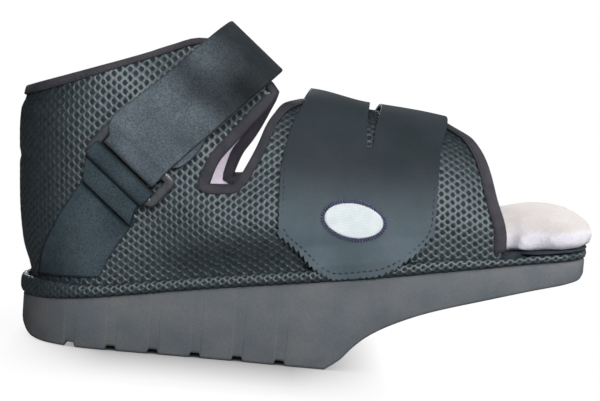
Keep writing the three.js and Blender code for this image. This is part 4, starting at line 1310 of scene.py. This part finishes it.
ring_sections = []
for a, b, na, nb in ring_path():
    section = []
    for k in range(ring_sides):
        turn = 2 * math.pi * k / ring_sides
        out_by = squared(math.cos(turn), 0.55) * ring_bar / 2
        deep = squared(math.sin(turn), 0.55) * ring_thick / 2
        section.append(strap_place(a + na * out_by, b + nb * out_by, ring_y - deep))
    ring_sections.append(section)
plastic = Finish("ring_plastic", 0.28, (240, 1600, (56, 59, 63), (70, 73, 77), 0.06), {
    "Coat Weight": 0.2, "Coat Roughness": 0.15}, grainy=(0.00004, 0.4))
plastic.wear("Roughness", plastic.spread(plastic.grain, 0.3, 0.7, 0.22, 0.42))
finish_piece(solid("strap_loop_ring", *swept(ring_sections, True)), plastic, "ring", "strap_ring")


# Forefoot strap: smooth coated cloth, cut with pinking shears along its foot and sewn down at the sole.
# Two fingers, parted by a slit, lie over the vamp to the far side.
strap_rear = curve((0, 127), (0.34, 125), (0.6, 124.6), (0.8, 127.5), (1, 136))
strap_fore = curve((0, 196.4), (0.27, 199), (0.77, 199.2), (1, 203.6))
strap_foot = curve(
    (0, 63.5), (0.15, 56), (0.3, 47.6), (0.42, 43.6), (0.56, 44.8), (0.68, 47.4),
    (0.79, 52.2), (0.85, 56.8), (0.9, 60.5), (0.94, 64.2), (0.97, 66.8), (1, 69.4))
slit_row = 0.77
strap_thick = 2.2
foot_gap = 0.6
strap_gap = 0.9
bow_rear, bow_front = 3.4, 0.9
finger_columns = 96
last_column = 2 * finger_columns + 1
strap_low_rows = 60
strap_high_rows = 16
strap_far_rows = 22
far_end = math.radians(150)
tooth_pitch = 3
tooth_deep = 2.1
edge_deep = 0.7


def strap_share(i, t):
    """Where a column lies between the strap's rear and front edges, with the slit between the fingers."""
    lean = ease(slit_row, 1, t)
    rear_edge = mix(0.52, 0.437, lean)
    front_edge = mix(0.562, 0.52, lean)
    if i <= finger_columns:
        return rear_edge * i / finger_columns
    return mix(front_edge, 1, (i - finger_columns - 1) / finger_columns)


def strap_column_x(i):
    return lambda t: mix(strap_rear(t), strap_fore(t), strap_share(i, t))


def zigzag(distance):
    phase = distance / tooth_pitch % 1
    return 1 - abs(2 * phase - 1)


def strap_foot_rows():
    """For each column: its foot's x, the foot edge's height and the distance along that edge."""
    rows = []
    run = 0
    for i in range(last_column + 1):
        x = strap_column_x(i)(0.1)
        z = max(strap_foot(strap_share(i, 0)), sole_top(x) + foot_gap)
        if rows:
            run += math.hypot(x - rows[-1][0], z - rows[-1][1])
        rows.append((x, z, run))
    return rows


def strap_column(i, x, z, run):
    foot = max(z - tooth_deep * (zigzag(run) - 0.5), sole_top(x) + foot_gap)
    start = (foot - sole_top(x)) / (vamp_top(x) - sole_top(x))
    turns = [turn_at(mix(start, slit_row, j / strap_low_rows)) for j in range(strap_low_rows)]
    turns += [mix(turn_at(slit_row), math.pi / 2, j / strap_high_rows) for j in range(strap_high_rows)]
    turns += [mix(math.pi / 2, far_end, j / strap_far_rows) for j in range(strap_far_rows + 1)]
    column = [on_arch(turn, strap_column_x(i)) for turn in turns]
    if i in (0, last_column):
        sign = -1 if i == 0 else 1
        column = [
            (px + sign * edge_deep * (zigzag(pz) - 0.5) * (1 - ease(90, 110, pz)), py, pz)
            for px, py, pz in column]
    return column


def strap_off(p):
    """How far the strap's inner face stands off the vamp: over the band at its foot, the tape at the rear."""
    x, y, z = p
    rise = z - sole_top(x)
    foot = 1 - ease(9, 19, rise) if y < 0 else 0
    top = ease(0.55, 0.97, rise / (vamp_top(x) - sole_top(x)))
    bow = top * (bow_rear * (1 - ease(136, 166, x)) + bow_front * ease(170, 200, x))
    return strap_gap + foot * (wall_inset + band_bulge(x) + gap - 0.3) + bow + tape_thick * 0.6


def strap_top(p):
    return strap_off(p) + strap_thick


def beside_slit(i, j):
    return i != finger_columns or j < strap_low_rows


strap_grid = [strap_column(i, *row) for i, row in enumerate(strap_foot_rows())]
strap_sheet = sheet_of((strap_grid, None, beside_slit))
coated = Finish("coated_cloth", 0.62, (35, 1300, (43, 51, 55), (51, 58, 63), 0.08), {
    "Specular IOR Level": 0.12})
height = coated.parts(coated.place)[2]
# Painted light: the strap is painted much brighter towards its foot and a little brighter at its top.
low_light = coated.spread(height, 0.068, 0.102, 2.2, 0, "SMOOTHSTEP")
top_light = coated.spread(height, 0.108, 0.13, 1, 1.15)
coated.wear("Base Color", coated.scale(coated.colour, coated.calc("ADD", low_light, top_light)))
coated.bump(coated.calc("ADD", coated.pattern("Voronoi", 1500), coated.grain), 0.00006, 0.5)
finish_piece(wall("forefoot_band", strap_sheet, strap_top, strap_off), coated, "strap", "forefoot_strap")

# The strap's sewing: one row of dark stitches a little inside its pinked foot and up both edges.
strap_normals = normals_by_spot(strap_sheet)
sewn_in = 5
seam_row = 4
seam_top = 46


def raised(p, normals, by, aside=0):
    """A point of a sheet lifted along its normal and moved aside, and the normal."""
    normal = normals[spot_key(p)]
    return np.asarray(p) + aside + normal * by, normal


def straightened(line, reach=8):
    """The same line with each point at the mean of its neighbours, so that it doesn't follow the teeth."""
    spots = np.array([p for p, _ in line])
    even = [spots[max(0, i - reach):i + reach + 1].mean(axis=0) for i in range(len(spots))]
    return [(p, n) for p, (_, n) in zip(even, line)]


seam_spots = [(sewn_in, j) for j in range(seam_top, seam_row, -1)]
seam_spots += [(i, seam_row) for i in range(sewn_in, last_column - sewn_in + 1)]
seam_spots += [(last_column - sewn_in, j) for j in range(seam_row + 1, seam_top)]
seam_points = [strap_grid[i][j] for i, j in seam_spots]
strap_seam = [raised(p, strap_normals, strap_top(p) + 0.02) for p in seam_points]
sew("forefoot_stitches", [straightened(strap_seam)], (1.9, 0.8, 0.35), 2.9, dark_thread, "strap")


# Oval label: a small blank woven patch with a raised overlocked rim, sewn to the forefoot strap.
label_x, label_z = 161, 72.5
label_long, label_high = 28.4, 15.4
label_tilt = math.radians(-3)
label_thick = 0.8
label_rings = 12
label_spokes = 96
rim_out = 0.65


def label_point(radius, turn):
    u = label_long / 2 * math.cos(turn) * radius
    v = label_high / 2 * math.sin(turn) * radius
    x = label_x + u * math.cos(label_tilt) - v * math.sin(label_tilt)
    return on_upper(x, label_z + u * math.sin(label_tilt) + v * math.cos(label_tilt), 1)


def label_under(p):
    return strap_top(p) + 0.35


label_turns = [2 * math.pi * (k % label_spokes) / label_spokes for k in range(label_spokes + 1)]
label_grid = [[label_point(i / label_rings, turn) for turn in label_turns] for i in range(label_rings + 1)]
label_sheet = sheet_of((label_grid, None, None))
label = wall("oval_patch", label_sheet, lambda p: label_under(p) + label_thick, label_under)
woven = Finish("label_woven", 0.6, (200, 2600, (212, 222, 224), (224, 232, 234), 0.05), {"Sheen Weight": 0.2})
woven.bump(woven.pattern("Wave", 420, bands_direction="Z").outputs[1], 0.00008, 0.5)
finish_piece(label, woven, "label", "oval_label")

label_normals = normals_by_spot(label_sheet)
rim_line = []
for p in label_grid[label_rings]:
    outward = np.asarray(p) - np.asarray(label_grid[0][0])
    outward = outward / np.linalg.norm(outward)
    rim_line.append(raised(p, label_normals, label_under(p) + label_thick * 0.6, outward * rim_out))
rim_thread = Finish("rim_thread", 0.5, (400, 3000, (50, 46, 86), (72, 66, 112), 0.2), {
    "Sheen Weight": 0.3}, grainy=(0.0001, 0.5))
sew("label_rim", [rim_line], (0.9, 2.7, 1.0), 1.25, rim_thread, "label")


# Floor and light: a plain white sweep and soft lamps, most from the camera's side, with one behind and one
# by the toe. The floor shows white to the camera, with a soft contact shadow from the heel to the ramp.
floor_mesh = bpy.data.meshes.new("studio_floor")
floor_reach = 12
floor_corners = [(x * floor_reach, y * floor_reach, 0) for x, y in ((-1, -1), (1, -1), (1, 1), (-1, 1))]
floor_mesh.from_pydata(floor_corners, [], [(0, 1, 2, 3)])
floor = put("studio_floor", floor_mesh)
white = (1, 1, 1, 1)
paper = Finish("studio_paper", 0.9, sockets={"Base Color": (0.16, 0.16, 0.16, 1)})
near = paper.add("ShaderNodeAmbientOcclusion", {"Distance": 0.075}, samples=16)
contact = paper.calc("POWER", near.outputs["AO"], 1.2)
along = paper.parts(paper.place)[0]
from_heel = paper.spread(along, -0.14, -0.09, 0.1, 1)
under_toe = paper.spread(along, 0, 0.045, 1, 0)
strength = paper.spread(paper.calc("MULTIPLY", from_heel, under_toe), 0, 1, 1, contact)
bright = paper.add("ShaderNodeEmission", {"Color": white, "Strength": strength})
seen = paper.add("ShaderNodeLightPath").outputs["Is Camera Ray"]
either = paper.add("ShaderNodeMixShader", {0: seen, 1: paper.shader, 2: bright})
paper.give(paper.tree.nodes["Material Output"].inputs[0], either)
floor_mesh.materials.append(paper.material)

world = bpy.data.worlds.new("studio")
world.use_nodes = True
sky = Nodes(world.node_tree)
room = sky.tree.nodes["Background"]
sky.give(room.inputs["Color"], white)
sky.give(room.inputs["Strength"], 0.03)
backdrop = sky.add("ShaderNodeBackground", {"Color": white, "Strength": 1})
seen = sky.add("ShaderNodeLightPath").outputs["Is Camera Ray"]
either = sky.add("ShaderNodeMixShader", {0: seen, 1: room, 2: backdrop})
sky.give(sky.tree.nodes["World Output"].inputs[0], either)
scene.world = world
lamps = (
    ("key_softbox", "AREA", 20.5, 0.5, (0.14, -1.54, 0.64)),
    ("low_fill", "AREA", 3.4, 0.3, (0.8, -1.25, 0.24)),
    ("boom_softbox", "AREA", 2.5, 0.6, (0.1, -0.55, 1.3)),
    ("back_softbox", "AREA", 18, 0.7, (-0.5, 1.4, 0.85)),
    ("toe_softbox", "AREA", 8, 0.6, (1.45, 0.2, 0.6)),
    ("overhead", "SUN", 0.5, 70, (0, 0, 1)))
lamp_aim = 0.08
for name, kind, strength, spread, stand in lamps:
    light = bpy.data.lights.new(name, kind)
    light.energy = strength
    if kind == "AREA":
        light.shape = "DISK"
        light.size = spread
    else:
        light.angle = math.radians(spread)
    lamp = put(name, light)
    lamp.location = stand
    aim = Vector((0, 0, lamp_aim if kind == "AREA" else 0)) - Vector(stand)
    lamp.rotation_euler = aim.to_track_quat("-Z", "Y").to_euler()
    lamp.visible_glossy = kind == "AREA"
scene.view_settings.view_transform = "Standard"
